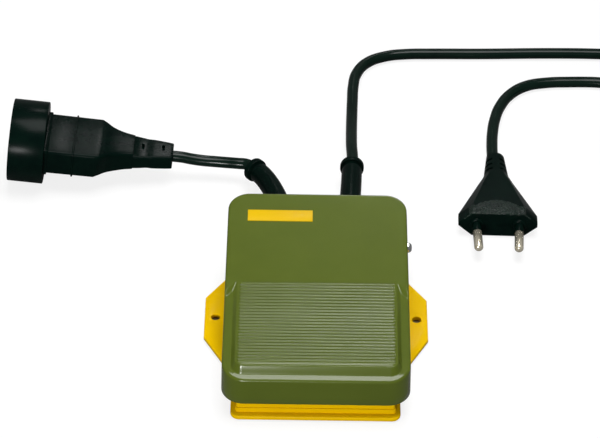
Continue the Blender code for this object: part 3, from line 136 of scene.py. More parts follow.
plasticLooks = looks(
    "dark light mottleScale grainScale grainStrength grainDepth polishScale roughness roughnessSpread ior"
    " specular", {
        # ABS with a satin spark-eroded finish: grain of about 0.25 mm, drawn at 0.4 mm to show
        "greenAbs": ("#4f5c18", "#525f1a", 60.0, 2400.0, 0.06, 0.00004, 90.0, 0.15, 0.01, 1.5, 0.35),
        # the base: the same ABS in yellow, a little glossier on its edges
        "yellowAbs": ("#ebbb00", "#f2c400", 50.0, 2400.0, 0.06, 0.00004, 80.0, 0.28, 0.02, 1.5, 0.04),
        # coated film of the label: smooth and level
        "labelFilm": ("#d6ae08", "#dab20a", 40.0, 1500.0, 0.02, 0.00002, 120.0, 0.32, 0.03, 1.48, 0.1),
        # soft PVC sheath of the leads: green-black, drawn smooth by the extruder, oily gloss
        "pvcSheath": ("#04150f", "#081b14", 120.0, 1800.0, 0.05, 0.00004, 140.0, 0.18, 0.02, 1.40, 0.22),
        # moulded PVC of plug, coupling and boots: eroded tool finish, grain drawn at about 0.5 mm
        "pvcMoulding": ("#020e0b", "#04140f", 220.0, 1700.0, 0.16, 0.00006, 160.0, 0.23, 0.02, 1.40, 0.07),
        # the same PVC where the tool was eroded coarsely for grip: specks of about 1 mm
        "pvcGrained": ("#04140e", "#0a2017", 220.0, 1000.0, 1.0, 0.0009, 160.0, 0.30, 0.05, 1.40, 0.45),
        # polyamide of the switch case and coupling insert: dry, matt, dark
        "darkPolyamide": ("#17191b", "#1f2224", 160.0, 2200.0, 0.12, 0.00005, 150.0, 0.5, 0.05, 1.53, 0.4),
        # polyamide of the switch button, coloured red
        "redPolyamide": ("#9c1a12", "#ad2016", 200.0, 2200.0, 0.05, 0.00003, 150.0, 0.4, 0.05, 1.53, 0.4),
        # natural polyethylene of the terminal block: milky, waxy
        "milkyPolyethylene": ("#d2cec0", "#dedacc", 120.0, 1500.0, 0.06, 0.00005, 120.0, 0.5, 0.06, 1.5, 0.4),
        # nitrile rubber of the feet: dull, dusty black
        "nitrileRubber": ("#161616", "#242423", 400.0, 1200.0, 0.3, 0.00008, 200.0, 0.75, 0.08, 1.52, 0.3)})
metalLooks = looks(
    "dark light stretch markScale roughness markStrength metallic", {
        # bright nickel plate over brass: warm white, mirror-like with faint drawing lines
        "nickelPlate": ("#e6ddc6", "#f4ecd6", (1.0, 0.06, 1.0), 3000.0, 0.22, 0.08, 0.75),
        # chrome-like zinc plate of the pivot screw
        "brightZinc": ("#c4c6c6", "#dcdedd", (1.0, 1.0, 1.0), 2500.0, 0.16, 0.08, 1.0),
        # rolled and zinc-passivated steel of springs and small screws
        "zincSteel": ("#94968f", "#b6b7b1", (1.0, 1.0, 1.0), 1800.0, 0.32, 0.15, 1.0),
        # stamped brass, slightly tarnished
        "stampedBrass": ("#a8843c", "#c8a456", (1.0, 1.0, 1.0), 1500.0, 0.3, 0.12, 1.0)})
material = {name: mouldedPlastic(name, look) for name, look in plasticLooks.items()}
material.update({name: metal(name, look) for name, look in metalLooks.items()})
print("stage: materials")


# Camera: the photograph's own viewing angle, found from its vanishing lines

camera = dict(elevation=math.radians(40.0), distance=1.240, target=(-0.0075, 0.0782, 0.0),
              roll=math.radians(0.8), focalPixels=2760.0, imageWidth=600)


def linked(name, data):
    # a new object at the origin, in the scene
    thing = bpy.data.objects.new(name, data)
    bpy.context.scene.collection.objects.link(thing)
    return thing


def placeCamera(view):
    # the camera looks along "ahead" from a point the distance behind the target, rolled about that line
    ahead = np.array([0.0, math.cos(view["elevation"]), -math.sin(view["elevation"])])
    right = np.array([1.0, 0.0, 0.0])
    above = np.cross(right, ahead)
    turned = math.cos(view["roll"]) * right + math.sin(view["roll"]) * above
    up = -math.sin(view["roll"]) * right + math.cos(view["roll"]) * above
    where = np.array(view["target"]) - ahead * view["distance"]
    lens = bpy.data.cameras.new("photoCamera")
    lens.sensor_width = 36.0
    lens.sensor_fit = "HORIZONTAL"
    lens.lens = view["focalPixels"] / view["imageWidth"] * 36.0
    lens.clip_start = 0.05
    lens.clip_end = 30.0
    holder = linked("photoCamera", lens)
    holder.matrix_world = Matrix(((turned[0], up[0], -ahead[0], where[0]),
                                  (turned[1], up[1], -ahead[1], where[1]),
                                  (turned[2], up[2], -ahead[2], where[2]), (0, 0, 0, 1)))
    bpy.context.scene.camera = holder


placeCamera(camera)
print("stage: camera")


# Mesh makers

def meshPiece(name, points, faces, finish, body, weld=None, smoothAngle=180.0):
    # points is (n, 3); faces a list of index tuples or an (m, 4) array; edges that turn by less
    # than the smooth angle shade smooth; weld joins points closer than it
    mesh = bpy.data.meshes.new(name)
    if isinstance(faces, np.ndarray):
        faces = faces.tolist()
    mesh.from_pydata(points.tolist(), [], faces)
    mesh.validate()
    shape = bmesh.new()
    shape.from_mesh(mesh)
    if weld:
        bmesh.ops.remove_doubles(shape, verts=shape.verts, dist=weld)
        bmesh.ops.dissolve_degenerate(shape, dist=weld, edges=shape.edges)
    limit = math.radians(smoothAngle)
    for edge in shape.edges:
        edge.smooth = len(edge.link_faces) == 2 and edge.calc_face_angle(0.0) < limit
    shape.to_mesh(mesh)
    shape.free()
    mesh.polygons.foreach_set("use_smooth", [True] * len(mesh.polygons))
    mesh.materials.append(finish)
    thing = linked(name, mesh)
    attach(thing, body)
    return thing


square = np.array([(-1, -1), (1, -1), (1, 1), (-1, 1)])


def gridFaces(rows, columns, wrap=True, first=0):
    # quads of a grid of points counted row by row; wrap joins the last column to the first
    row, column = np.meshgrid(np.arange(rows - 1), np.arange(columns if wrap else columns - 1), indexing="ij")
    beside = (column + 1) % columns
    a, b = row * columns + column, row * columns + beside
    return first + np.stack([a, b, b + columns, a + columns], axis=-1).reshape(-1, 4)


def joinRings(name, partRings, finish, body, smoothAngle=40.0):
    # one object of closed ring shapes: quads between the rings, a cap on each shape's ends
    points, faces, first = [], [], 0
    for rings in partRings:
        rows, columns = rings.shape[:2]
        points.append(rings.reshape(-1, 3))
        faces += gridFaces(rows, columns, first=first).tolist()
        faces.append([first + i for i in range(columns)][::-1])
        faces.append([first + (rows - 1) * columns + i for i in range(columns)])
        first += rows * columns
    return meshPiece(name, np.vstack(points), faces, finish, body, smoothAngle=smoothAngle)


def ringPiece(name, rings, finish, body, smoothAngle=50.0):
    # rings is (rows, columns, 3): a profile carried along a path, closed round, with end caps
    return joinRings(name, [rings], finish, body, smoothAngle)


def unit(vector):
    # the vector divided by its length
    vector = np.asarray(vector, float)
    return vector / np.linalg.norm(vector)


def turnedRings(profile, start, along, sides=48):
    # lathe: point = start + along * distance + spoke(angle) * radius
    along = unit(along)
    side = unit(np.cross(along, (0.0, 0.0, 1.0) if abs(along[2]) < 0.9 else (1.0, 0.0, 0.0)))
    up = np.cross(along, side)
    angle = np.arange(sides) * 2 * math.pi / sides
    spoke = np.cos(angle)[:, None] * side + np.sin(angle)[:, None] * up
    profile = np.asarray(profile, float)
    return (np.asarray(start, float) + profile[:, 0, None, None] * along
            + profile[:, 1, None, None] * spoke[None])


def smoothRoute(points, spacing):
    # Catmull-Rom curve through the points, evenly spaced; the first and last stretches stay straight
    route = np.asarray(points, float)
    before, start, end, after = route[:-3], route[1:-2], route[2:-1], route[3:]
    t = (np.arange(24) / 24)[None, :, None]
    before, start, end, after = (part[:, None, :] for part in (before, start, end, after))
    fine = 0.5 * (2 * start + (end - before) * t + (2 * before - 5 * start + 4 * end - after) * t ** 2
                  + (3 * start - before - 3 * end + after) * t ** 3)
    fine = np.vstack([fine.reshape(-1, 3), route[-2]])
    run = np.concatenate([[0.0], np.cumsum(np.linalg.norm(np.diff(fine, axis=0), axis=1))])
    count = max(2, round(run[-1] / spacing))
    even = np.stack([np.interp(np.linspace(0, run[-1], count + 1), run, fine[:, i]) for i in range(3)], axis=1)
    return np.vstack([route[0], even, route[-1]])


def routeLength(points):
    # sum of the distances from point to point
    return float(np.linalg.norm(np.diff(np.asarray(points), axis=0), axis=1).sum())


def sweptRings(route, profile, sides=40):
    # tube: at each distance along the route, a ring of the profile's radius square to the route
    run = np.concatenate([[0.0], np.cumsum(np.linalg.norm(np.diff(route, axis=0), axis=1))])
    place = np.clip(np.asarray([p[0] for p in profile]), 0.0, run[-1])
    middle = np.stack([np.interp(place, run, route[:, i]) for i in range(3)], axis=1)
    slope = np.gradient(route, run, axis=0)
    ahead = np.stack([np.interp(place, run, slope[:, i]) for i in range(3)], axis=1)
    ahead /= np.linalg.norm(ahead, axis=1)[:, None]
    across = np.cross(ahead, (0.0, 0.0, 1.0))
    across /= np.linalg.norm(across, axis=1)[:, None]
    up = np.cross(across, ahead)
    angle = np.arange(sides) * 2 * math.pi / sides
    radius = np.asarray([p[1] for p in profile])[:, None, None]
    spoke = (np.cos(angle)[None, :, None] * across[:, None] - np.sin(angle)[None, :, None] * up[:, None])
    return middle[:, None] + radius * spoke


def smoothStep(value):
    # 3 v^2 - 2 v^3, with v held between 0 and 1
    value = np.clip(value, 0.0, 1.0)
    return value * value * (3 - 2 * value)


# Leads: the same route points as the solids, as curves with a round bevel

base = dict(halfX=0.03335, halfY=0.0493, glandWall=0.0040)
lead = dict(radius=0.0026, lie=0.00275, gap=0.0003, entry=0.0010)
boot = dict(flangeRadius=0.0064, flange=0.0020, rootRadius=0.0048, endRadius=0.0046, beadRadius=0.0054,
            beadLength=0.0034, glandX=0.0140, glandZ=0.0130)
coil = dict(x=0.2110, y=0.1680, inner=0.0220, pitch=0.0063, layers=4, turns=2.0, lastTurns=2.125,
            start=math.radians(90.0), perTurn=24)
plug = dict(x=0.0806, faceY=0.0680, yaw=math.radians(-1.3), width=0.0352, thickness=0.0125, flat=0.0230,
            shoulder=0.0060, thinning=0.0014, length=0.0510, reliefLength=0.0170, reliefRoot=0.0120,
            reliefEnd=0.0080, reliefEndThickness=0.0072, floorLift=0.00015, pinSpacing=0.0190,
            tipSpacing=0.0176, pinRadius=0.0020, pinLength=0.0180, sleeveLength=0.0060,
            sleeveWall=0.00035, pinRoot=0.0050,
            cordAside=0.0012, faceRound=0.0005, upright=0.0009, spine=0.0017, slotFirst=0.0033, slotStep=0.0040,
            endRound=0.0014, grainedReach=0.0105, grainedArc=45.0, grainedHigh=0.0030)
plug["pitch"] = math.atan(plug["thinning"] / (plug["length"] - plug["reliefLength"] - plug["shoulder"]))
coupling = dict(face=(-0.1388, 0.1076), tail=(-0.0656, 0.1062), pitch=math.radians(5.8), collarRadius=0.0186,
                collarLength=0.0160, width=0.0286, thickness=0.0129, flange=0.0016,
                ring=0.0289, insertRadius=0.0140, insertDepth=0.0120, edgeRound=0.0004, gripCorner=0.0016,
                tailCorner=0.0011, tailStart=0.0557, noseRound=0.0006, noseDraw=0.0010, slots=(0.0598, 0.0690),
                slotHalf=0.0006, slotAcross=0.00255, slotDepth=0.0016)
boreDepth = 0.0016


def insideGland():
    # y of a boot's inner end, behind the tray's back wall
    return base["halfY"] - base["glandWall"] - lead["gap"] - boot["flange"]


supplyBootRoute = [(boot["glandX"], insideGland(), boot["glandZ"]), (boot["glandX"], 0.0520, 0.0130),
                   (0.0143, 0.0640, 0.0127), (0.0148, 0.0780, 0.0121), (0.0154, 0.0920, 0.0112),
                   (0.0158, 0.1046, 0.0103)]
outputBootRoute = [(-boot["glandX"], insideGland(), boot["glandZ"]), (-boot["glandX"], 0.0520, 0.0130),
                   (-0.0149, 0.0630, 0.0128), (-0.0166, 0.0730, 0.0124), (-0.0193, 0.0825, 0.0119),
                   (-0.0228, 0.0913, 0.0114), (-0.0260, 0.0969, 0.0110), (-0.0293, 0.1009, 0.0107)]


def beyond(points, distance):
    # the last point moved on along the last stretch
    last, before = np.asarray(points[-1], float), np.asarray(points[-2], float)
    return last + unit(last - before) * distance


def plugTurn():
    # columns: the plug's own x, y, z in the model's frame, after its pitch and yaw
    yaw, pitch = plug["yaw"], -plug["pitch"]
    yawTurn = np.array([[math.cos(yaw), -math.sin(yaw), 0], [math.sin(yaw), math.cos(yaw), 0], [0, 0, 1]])
    pitchTurn = np.array([[1, 0, 0], [0, math.cos(pitch), -math.sin(pitch)],
                          [0, math.sin(pitch), math.cos(pitch)]])
    return yawTurn @ pitchTurn @ np.array([[1.0, 0, 0], [0, 0, 1.0], [0, 1.0, 0]])


def plugPlace(points):
    # x across, y up, z back along the body from the face
    lift = (plug["thickness"] / 2 * math.cos(plug["pitch"]) + plug["shoulder"] * math.sin(plug["pitch"])
            + plug["floorLift"])
    return np.array([plug["x"], plug["faceY"], lift]) + np.asarray(points, float) @ plugTurn().T


def couplingFrame():
    # unit vectors along the coupling to its tail, across it and up, after its pitch
    flat = np.array([coupling["tail"][0] - coupling["face"][0], coupling["tail"][1] - coupling["face"][1], 0.0])
    along = unit(flat) * math.cos(coupling["pitch"]) - np.array([0, 0, math.sin(coupling["pitch"])])
    across = unit(np.cross((0, 0, 1), along))
    return along, across, np.cross(along, across)


def couplingPlace(points):
    # distance along from the collar's face, across, up
    along, across, up = couplingFrame()
    lift = (coupling["collarRadius"] * math.cos(coupling["pitch"])
            + coupling["collarLength"] * math.sin(coupling["pitch"]))
    points = np.asarray(points, float)
    return (np.array([coupling["face"][0], coupling["face"][1], lift]) + points[..., 0:1] * along
            + points[..., 1:2] * across + points[..., 2:3] * up)


couplingLength = math.hypot(coupling["tail"][0] - coupling["face"][0],
                            coupling["tail"][1] - coupling["face"][1]) / math.cos(coupling["pitch"])


def coilPoints():
    # loops that spiral in, climb a layer in half a turn, and spiral out again: a point lies at the radius
    # round the middle, and the radius changes by the pitch in each turn
    perTurn, pitch = coil["perTurn"], coil["pitch"]
    step = 2 * math.pi / perTurn
    angle, radius, height = coil["start"], coil["inner"] + pitch * coil["turns"], lead["lie"]
    points = [(coil["x"] - 2 * lead["radius"], coil["y"] + radius, height)]

    def around(angles, reach, level):
        x, y = coil["x"] + reach * np.cos(angles), coil["y"] + reach * np.sin(angles)
        return np.stack(np.broadcast_arrays(x, y, level), axis=-1).tolist()
    for layer in range(coil["layers"]):
        last = layer == coil["layers"] - 1
        count = round((coil["lastTurns"] if last else coil["turns"]) * perTurn)
        inward = -pitch if layer % 2 == 0 else pitch
        turn = np.arange(count)
        points += around(angle - step * turn, radius + inward * turn / perTurn, height)
        angle -= step * count
        radius += inward * count / perTurn
        if not last:
            turn = np.arange(perTurn // 2)
            points += around(angle - step * turn, radius, height + pitch * turn / len(turn))
            angle -= step * len(turn)
            height += pitch
    points += around(np.array([angle]), radius, height)
    heading = np.array([math.sin(angle), -math.cos(angle), 0.0])
    points.append(tuple(np.array(points[-1]) + heading * 2 * lead["radius"]))
    return np.array(points)


lie = lead["lie"]
coilTop = coil["y"] + coil["inner"] + coil["pitch"] * coil["turns"]
nearRoute = [beyond(supplyBootRoute, -lead["entry"]), beyond(supplyBootRoute, 0.006),
             (0.0157, 0.1215, 0.0082), (0.0158, 0.1360, 0.0054), (0.0161, 0.1500, 0.0034),
             (0.0165, 0.1640, lie), (0.0173, 0.1770, lie),
             (0.0205, 0.1885, lie), (0.0290, 0.1962, lie), (0.0410, 0.1995, lie), (0.0560, 0.2003, lie),
             (0.0800, 0.2008, lie), (0.1050, 0.2018, lie), (0.1260, 0.2022, lie), (0.1450, 0.2020, lie),
             (0.1700, 0.2024, lie), (0.1900, coilTop, lie),
             (coil["x"] - 2 * lead["radius"] - lead["gap"], coilTop, lie)]
coilRoute = coilPoints()
coilHeading = unit(coilRoute[-1] - coilRoute[-2])
rampDown = [coilRoute[-1] + coilHeading * along - np.array([0, 0, (coilRoute[-1][2] - lie) * (1 - share)])
            for along, share in ((0.007, 1.0), (0.016, 0.96), (0.025, 0.80), (0.034, 0.55), (0.043, 0.30))]
plugEnd = plugPlace((-plug["cordAside"], 0.0, plug["length"]))
plugToward = plugPlace((-plug["cordAside"], 0.0, plug["length"] + 0.010))
farRoute = ([coilRoute[-1] + coilHeading * lead["gap"]] + rampDown
            + [(0.1470, 0.1765, 0.0047), (0.1370, 0.1790, lie + 0.0003), (0.1260, 0.1794, lie),
               (0.1140, 0.1789, lie), (0.1040, 0.1775, lie), (0.0970, 0.1743, lie), (0.0914, 0.1690, lie),
               (0.0869, 0.1615, lie), (0.0839, 0.1528, lie), (0.0819, 0.1423, 0.0030), plugToward,
               plugEnd - unit(plugToward - plugEnd) * lead["entry"]])
outputRoute = [beyond(outputBootRoute, -lead["entry"]), beyond(outputBootRoute, 0.0035),
               (-0.0365, 0.1045, 0.0104), (-0.0445, 0.1056, 0.0102), (-0.0540, 0.1060, 0.0108),
               couplingPlace((couplingLength + 0.004, 0, 0)),
               couplingPlace((couplingLength - lead["entry"], 0, 0))]


def leadCurve(name, points):
    # one open Bezier spline through the route's points, with a round section
    curve = bpy.data.curves.new(name, "CURVE")
    curve.dimensions = "3D"
    curve.bevel_depth = lead["radius"]
    curve.bevel_resolution = 7
    curve.use_fill_caps = True
    curve.resolution_u = 5
    spline = curve.splines.new("BEZIER")
    spline.bezier_points.add(len(points) - 1)
    for knot, place in zip(spline.bezier_points, points):
        knot.co = place
        knot.handle_left_type = knot.handle_right_type = "AUTO"
    curve.materials.append(material["pvcSheath"])
    thing = linked(name, curve)
    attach(thing, "base")
    return thing


spacing = 4 * lead["radius"]
nearPoints = smoothRoute(nearRoute, spacing)
farPoints = smoothRoute(farRoute, spacing)
outputPoints = smoothRoute(outputRoute, spacing * 0.5)
supplyNear = leadCurve("supplyLead", nearPoints)
supplyCoil = leadCurve("supplyLeadCoil", coilRoute)
supplyFar = leadCurve("supplyLeadToPlug", farPoints)
outputLead = leadCurve("outputLead", outputPoints)
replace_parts(supplyNear, "supply_cord")
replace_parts(supplyCoil, "supply_coil")
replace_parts(supplyFar, "supply_cord_to_plug")
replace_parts(outputLead, "output_cord")
for side, word in ((-1, "output"), (1, "supply")):
    start = insideGland() - lead["gap"]
    inside = [(side * boot["glandX"], start + (0.0285 - start) * share, boot["glandZ"])
              for share in (0.0, 0.33, 0.67, 1.0)]
    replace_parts(leadCurve(word + "LeadEnd", inside), word + "_cord_end")
print("stage: leads", [round(routeLength(route) * 1000)
                       for route in (nearPoints, coilRoute, farPoints, outputPoints)])


# Bend protectors behind the glands

def bootPiece(name, routePoints, node):
    # radius by the distance along the route: a flange, a sleeve that falls evenly from root to end, a
    # neck groove, and a bead whose lip and nose are quarter circles
    route = smoothRoute(routePoints, 0.0020)
    total = routeLength(route)
    body = total - boot["beadLength"]
    root, end, bead = boot["rootRadius"], boot["endRadius"], boot["beadRadius"]
    share = np.linspace(0, 1, 26)
    sleeve = np.stack([boot["flange"] + share * (body - 0.0004 - boot["flange"]), root + share * (end - root)],
                      axis=1)
    turn = np.linspace(0, math.pi / 2, 6)
    lip, nose = 0.0005, 0.0010
    rim, flange = boot["flangeRadius"], boot["flange"]
    profile = ([(0.0, 0.0040), (0.0, rim - 0.0003), (0.0003, rim), (flange - 0.0002, rim),
                (flange, rim - 0.0002)]
               + sleeve.tolist() + [(body - 0.0001, end - 0.0002), (body + 0.0001, end + 0.0001)]
               + [(body + 0.0001 + lip * (1 - math.cos(a)), bead - lip + lip * math.sin(a)) for a in turn]
               + [(total - nose + nose * math.sin(a), bead - nose + nose * math.cos(a)) for a in turn]
               + [(total - 0.0004, lead["radius"] + 0.0012), (total - 0.0016, lead["radius"] + 0.0001)])
    piece = ringPiece(name, sweptRings(route, profile), material["pvcMoulding"], "base",
                      smoothAngle=60.0)
    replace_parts(piece, node)


bootPiece("supplyBoot", supplyBootRoute, "supply_boot")
bootPiece("outputBoot", outputBootRoute, "output_boot")
print("stage: boots")


# Pedal cover

cover = dict(halfX=0.0391, halfY=0.0525, corner=0.0095, bottom=0.0100, backHeight=0.0366,
             slope=math.radians(5.2), draft=math.radians(1.0), taper=math.radians(0.1), edge=0.0011,
             wall=0.0022, treadHalf=0.0335, treadBack=-0.0005, treadFront=-0.0478, treadCorner=0.0030,
             step=0.0033, ledgeSlope=math.radians(8.0), stepRun=0.0015, shoulderRun=0.0065,
             stepRound=0.00020, stepCurve=0.15, blend=0.0010, ribs=27, ribPitch=0.00172, ribHeight=0.00045,
             ribMargin=0.0012, ribFlat=0.00022, ribFlank=0.00042, ribEnd=0.0005, frontRoll=math.radians(7.0),
             slotX=0.0140, slotZ=0.0130, slotRadius=0.0060, lowRound=0.0003)
# what hangs under the roof, and where the cover turns
fitting = dict(cupRadius=0.0060, cupDrop=0.0040, cupHold=0.0010, pinRadius=0.0030, pinLength=0.0036,
               press=(-0.01927, 0.02539), pressRadius=0.0030, roofHold=0.0011, pivotY=0.0360, pivotZ=0.0200,
               bossRadius=0.0050, bossBore=0.0017, bossGap=0.0004, bossHold=0.0018, ribHalf=(0.0030, 0.0012),
               ribY=0.0473, ribLow=0.0211)
spring = dict(y=-0.0340, radius=0.0044, wire=0.00055, turns=6, closed=0.85, seat=0.0043, slack=0.0003,
              closedGap=0.0005, points=460, travel=math.radians(3.0))


def coverPlane(y):
    # the roof's plane: back height less the distance from the back times the slope
    return cover["backHeight"] - (cover["halfY"] - y) * math.tan(cover["slope"])


def coverTop(x, y, inner=False):
    # plane that falls to the front; round the tread it steps down to a ledge, by a smooth ramp of
    # the distance from the tread's edge; ribs are a rounded trapezoid wave along y
    half, front, corner, run = cover["treadHalf"], cover["treadFront"], cover["treadCorner"], cover["stepRun"]
    high = coverPlane(y)
    roll = np.clip(front - 0.5 * run - y, 0.0, None) * math.tan(cover["frontRoll"])
    low = coverPlane(front) - cover["step"] + (y - front) * math.tan(cover["ledgeSlope"]) - roll
    qx = np.abs(x) - (half - corner)
    qy = front + corner - y
    edge = np.hypot(np.clip(qx, 0, None), np.clip(qy, 0, None)) + np.clip(np.maximum(qx, qy), None, 0) - corner
    leanX, leanY = -cover["shoulderRun"], -(cover["halfX"] - half)
    shoulder = ((np.abs(x) - half) * leanX + (y - cover["treadBack"]) * leanY) / math.hypot(leanX, leanY)
    mix = np.clip(0.5 + 0.5 * (shoulder - edge) / cover["blend"], 0, 1)
    away = shoulder * (1 - mix) + edge * mix - cover["blend"] * mix * (1 - mix)
    if inner:
        away = away + cover["wall"]
    # the flank is mostly straight, with a share of the step curve
    soft, curved = cover["stepRound"], cover["stepCurve"]
    share = (curved * smoothStep((away + soft) / (run + 2 * soft))
             + (1 - curved) * np.clip((away + soft * 0.4) / (run + 0.8 * soft), 0, 1))
    z = high + (low - high) * share
    if inner:
        return z - cover["wall"]
    phase = (y - front) / cover["ribPitch"] - 0.5
    off = np.abs(phase - np.round(phase)) * cover["ribPitch"]
    rise = 1 - smoothStep((off - cover["ribFlat"]) / cover["ribFlank"])
    within = ((phase > -0.5) & (phase < cover["ribs"] - 0.5)).astype(float)
    ends = smoothStep((-edge - cover["ribMargin"] + 0.4 * cover["ribEnd"]) / cover["ribEnd"])
    return z + cover["ribHeight"] * rise * within * ends


def coverLines():
    # grid lines: close together over rims, steps, ribs and boot slots, wide apart elsewhere
    rim = cover["edge"] * (1 - np.cos(np.linspace(0, math.pi / 2, 8)))
    arc = np.linspace(0, math.pi, 13)
    slot = cover["slotX"] - cover["slotRadius"] * np.cos(arc)
    slot = np.concatenate([[slot[0] - 1e-5], slot[:-1], [slot[-1]], [slot[-1] + 1e-5]])
    half = np.concatenate([np.linspace(0, 0.0079, 5)[:-1], slot, np.linspace(0.0215, 0.0305, 7),
                           np.linspace(0.0307, 0.0365, 26), [cover["halfX"] - cover["wall"], 0.0372, 0.0376],
                           cover["halfX"] - rim[::-1]])
    half = np.unique(np.round(half, 7))
    xLines = np.concatenate([-half[::-1][:-1], half])
    ribFront = cover["treadFront"]
    ribs = (ribFront + cover["ribPitch"] * (np.arange(cover["ribs"])[:, None]
            + np.array([0.02, 0.12, 0.22, 0.31, 0.39, 0.5, 0.61, 0.69, 0.78, 0.88])[None])).ravel()
    yLines = np.concatenate([-cover["halfY"] + rim, [-cover["halfY"] + 0.0015, -cover["halfY"] + cover["wall"]],
                             np.linspace(-0.0500, -0.0479, 12), ribs, np.linspace(-0.0013, 0.0015, 8),
                             np.linspace(0.003, 0.044, 16), np.linspace(0.0455, 0.0495, 6),
                             [cover["halfY"] - cover["wall"], 0.0507, 0.0511], cover["halfY"] - rim[::-1]])
    return xLines, np.unique(np.round(yLines, 7))


def roundedPlan(x, y, halfX, halfY, corner):
    # squares the circle the other way: points in a corner square move onto arcs about its centre
    p = np.clip(np.abs(x) - (halfX - corner), 0, None)
    q = np.clip(np.abs(y) - (halfY - corner), 0, None)
    reach, length = np.maximum(p, q), np.hypot(p, q)
    pull = np.where(length > 0, reach / np.maximum(length, 1e-12), 1.0)
    inCorner = (p > 0) & (q > 0)
    newX = np.where(inCorner, np.sign(x) * (halfX - corner + p * pull), x)
    newY = np.where(inCorner, np.sign(y) * (halfY - corner + q * pull), y)
    return newX, newY


def coverLean(x, y, z):
    # draft: the walls lean in with height; taper: the sides draw in towards the back
    lean = (z - cover["bottom"]) * math.tan(cover["draft"])
    drawIn = (y + cover["halfY"]) * math.tan(cover["taper"])
    return x * (1 - (lean + drawIn) / cover["halfX"]), y * (1 - lean / cover["halfY"])


def perimeterOf(columns, rows):
    # indices (row, column) round a grid's border: front to the right, right side, back, left side
    across, along = np.arange(columns - 1), np.arange(rows - 1)
    sides = ((0 * across, across), (along, 0 * along + columns - 1),
             (0 * across + rows - 1, columns - 1 - across), (rows - 1 - along, 0 * along))
    return np.concatenate([np.stack(side, axis=1) for side in sides])


def coverShell():
    # a grid at the height of coverTop, leant in by the draft, its rims rounded by a quarter circle;
    # from its border the walls go down, round the lower edge and up inside to the same grid drawn in
    halfX, halfY, wall, rim = cover["halfX"], cover["halfY"], cover["wall"], cover["edge"]
    gridX, gridY = np.meshgrid(*coverLines())
    depth = np.minimum(halfX - np.abs(gridX), halfY - np.abs(gridY))
    planX, planY = roundedPlan(gridX, gridY, halfX, halfY, cover["corner"])
    x, y = coverLean(planX, planY, coverTop(planX, planY))
    near = np.clip(rim - depth, 0, None)
    z = coverTop(x, y) - (rim - np.sqrt(np.clip(rim ** 2 - near ** 2, 0, None)))
    top = np.stack([x, y, z], axis=-1)
    # underside of the roof
    insideX, insideY = halfX - wall, halfY - wall
    underX, underY = roundedPlan(np.clip(gridX, -insideX, insideX), np.clip(gridY, -insideY, insideY), insideX,
                                 insideY, cover["corner"] - wall)
    ux, uy = coverLean(underX, underY, coverTop(underX, underY, inner=True))
    under = np.stack([ux, uy, coverTop(ux, uy, inner=True)], axis=-1)
    rows, columns = z.shape
    border = perimeterOf(columns, rows)
    edgeTop, underBorder, edgeX, edgeY, inX, inY = (
        part[border[:, 0], border[:, 1]] for part in (top, under, planX, planY, underX, underY))
    # lower edge: level, but arched over each boot at the back
    fromSlot = np.abs(np.abs(edgeX) - cover["slotX"])
    arch = cover["slotZ"] + np.sqrt(np.clip(cover["slotRadius"] ** 2 - fromSlot ** 2, 0, None))
    atSlot = (edgeY > halfY - 0.0001) & (fromSlot <= cover["slotRadius"] + 2e-6)
    lowEdge = np.where(atSlot, arch, cover["bottom"])
    start = lowEdge + cover["lowRound"]
    innerRoof = coverTop(*coverLean(inX, inY, edgeTop[:, 2] - wall), inner=True)

    def wallRow(px, py, height):
        return np.stack([*coverLean(px, py, height), height], axis=1)
    wallRows = [edgeTop] + [wallRow(edgeX, edgeY, edgeTop[:, 2] + (start - edgeTop[:, 2]) * share)
                            for share in (0.15, 0.4, 0.7, 1.0)]
    outer, inner = (np.stack(coverLean(px, py, lowEdge)) for px, py in ((edgeX, edgeY), (inX, inY)))
    wallRows += [np.column_stack([*(outer + (inner - outer) * share), lowEdge + rise])
                 for share, rise in ((0.06, 0.0001), (0.14, 0.0), (0.86, 0.0), (0.94, 0.0001))]
    wallRows += [wallRow(inX, inY, start + (innerRoof - start) * share) for share in (0.0, 0.3, 0.7)]
    walls = np.stack(wallRows + [underBorder])
    points = np.vstack([part.reshape(-1, 3) for part in (top, walls, under)])
    count, total = len(border), rows * columns
    faces = np.vstack([gridFaces(rows, columns, wrap=False),
                       gridFaces(walls.shape[0], count, first=total)[:, ::-1],
                       gridFaces(rows, columns, wrap=False, first=total + walls.shape[0] * count)[:, ::-1]])
    piece = meshPiece("pedalCover", points, faces, material["greenAbs"], "pedal", weld=5e-7,
                      smoothAngle=52.0)
    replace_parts(piece, "pedal_cover")
    return piece


coverPiece = coverShell()
print("stage: pedal cover", len(coverPiece.data.polygons))


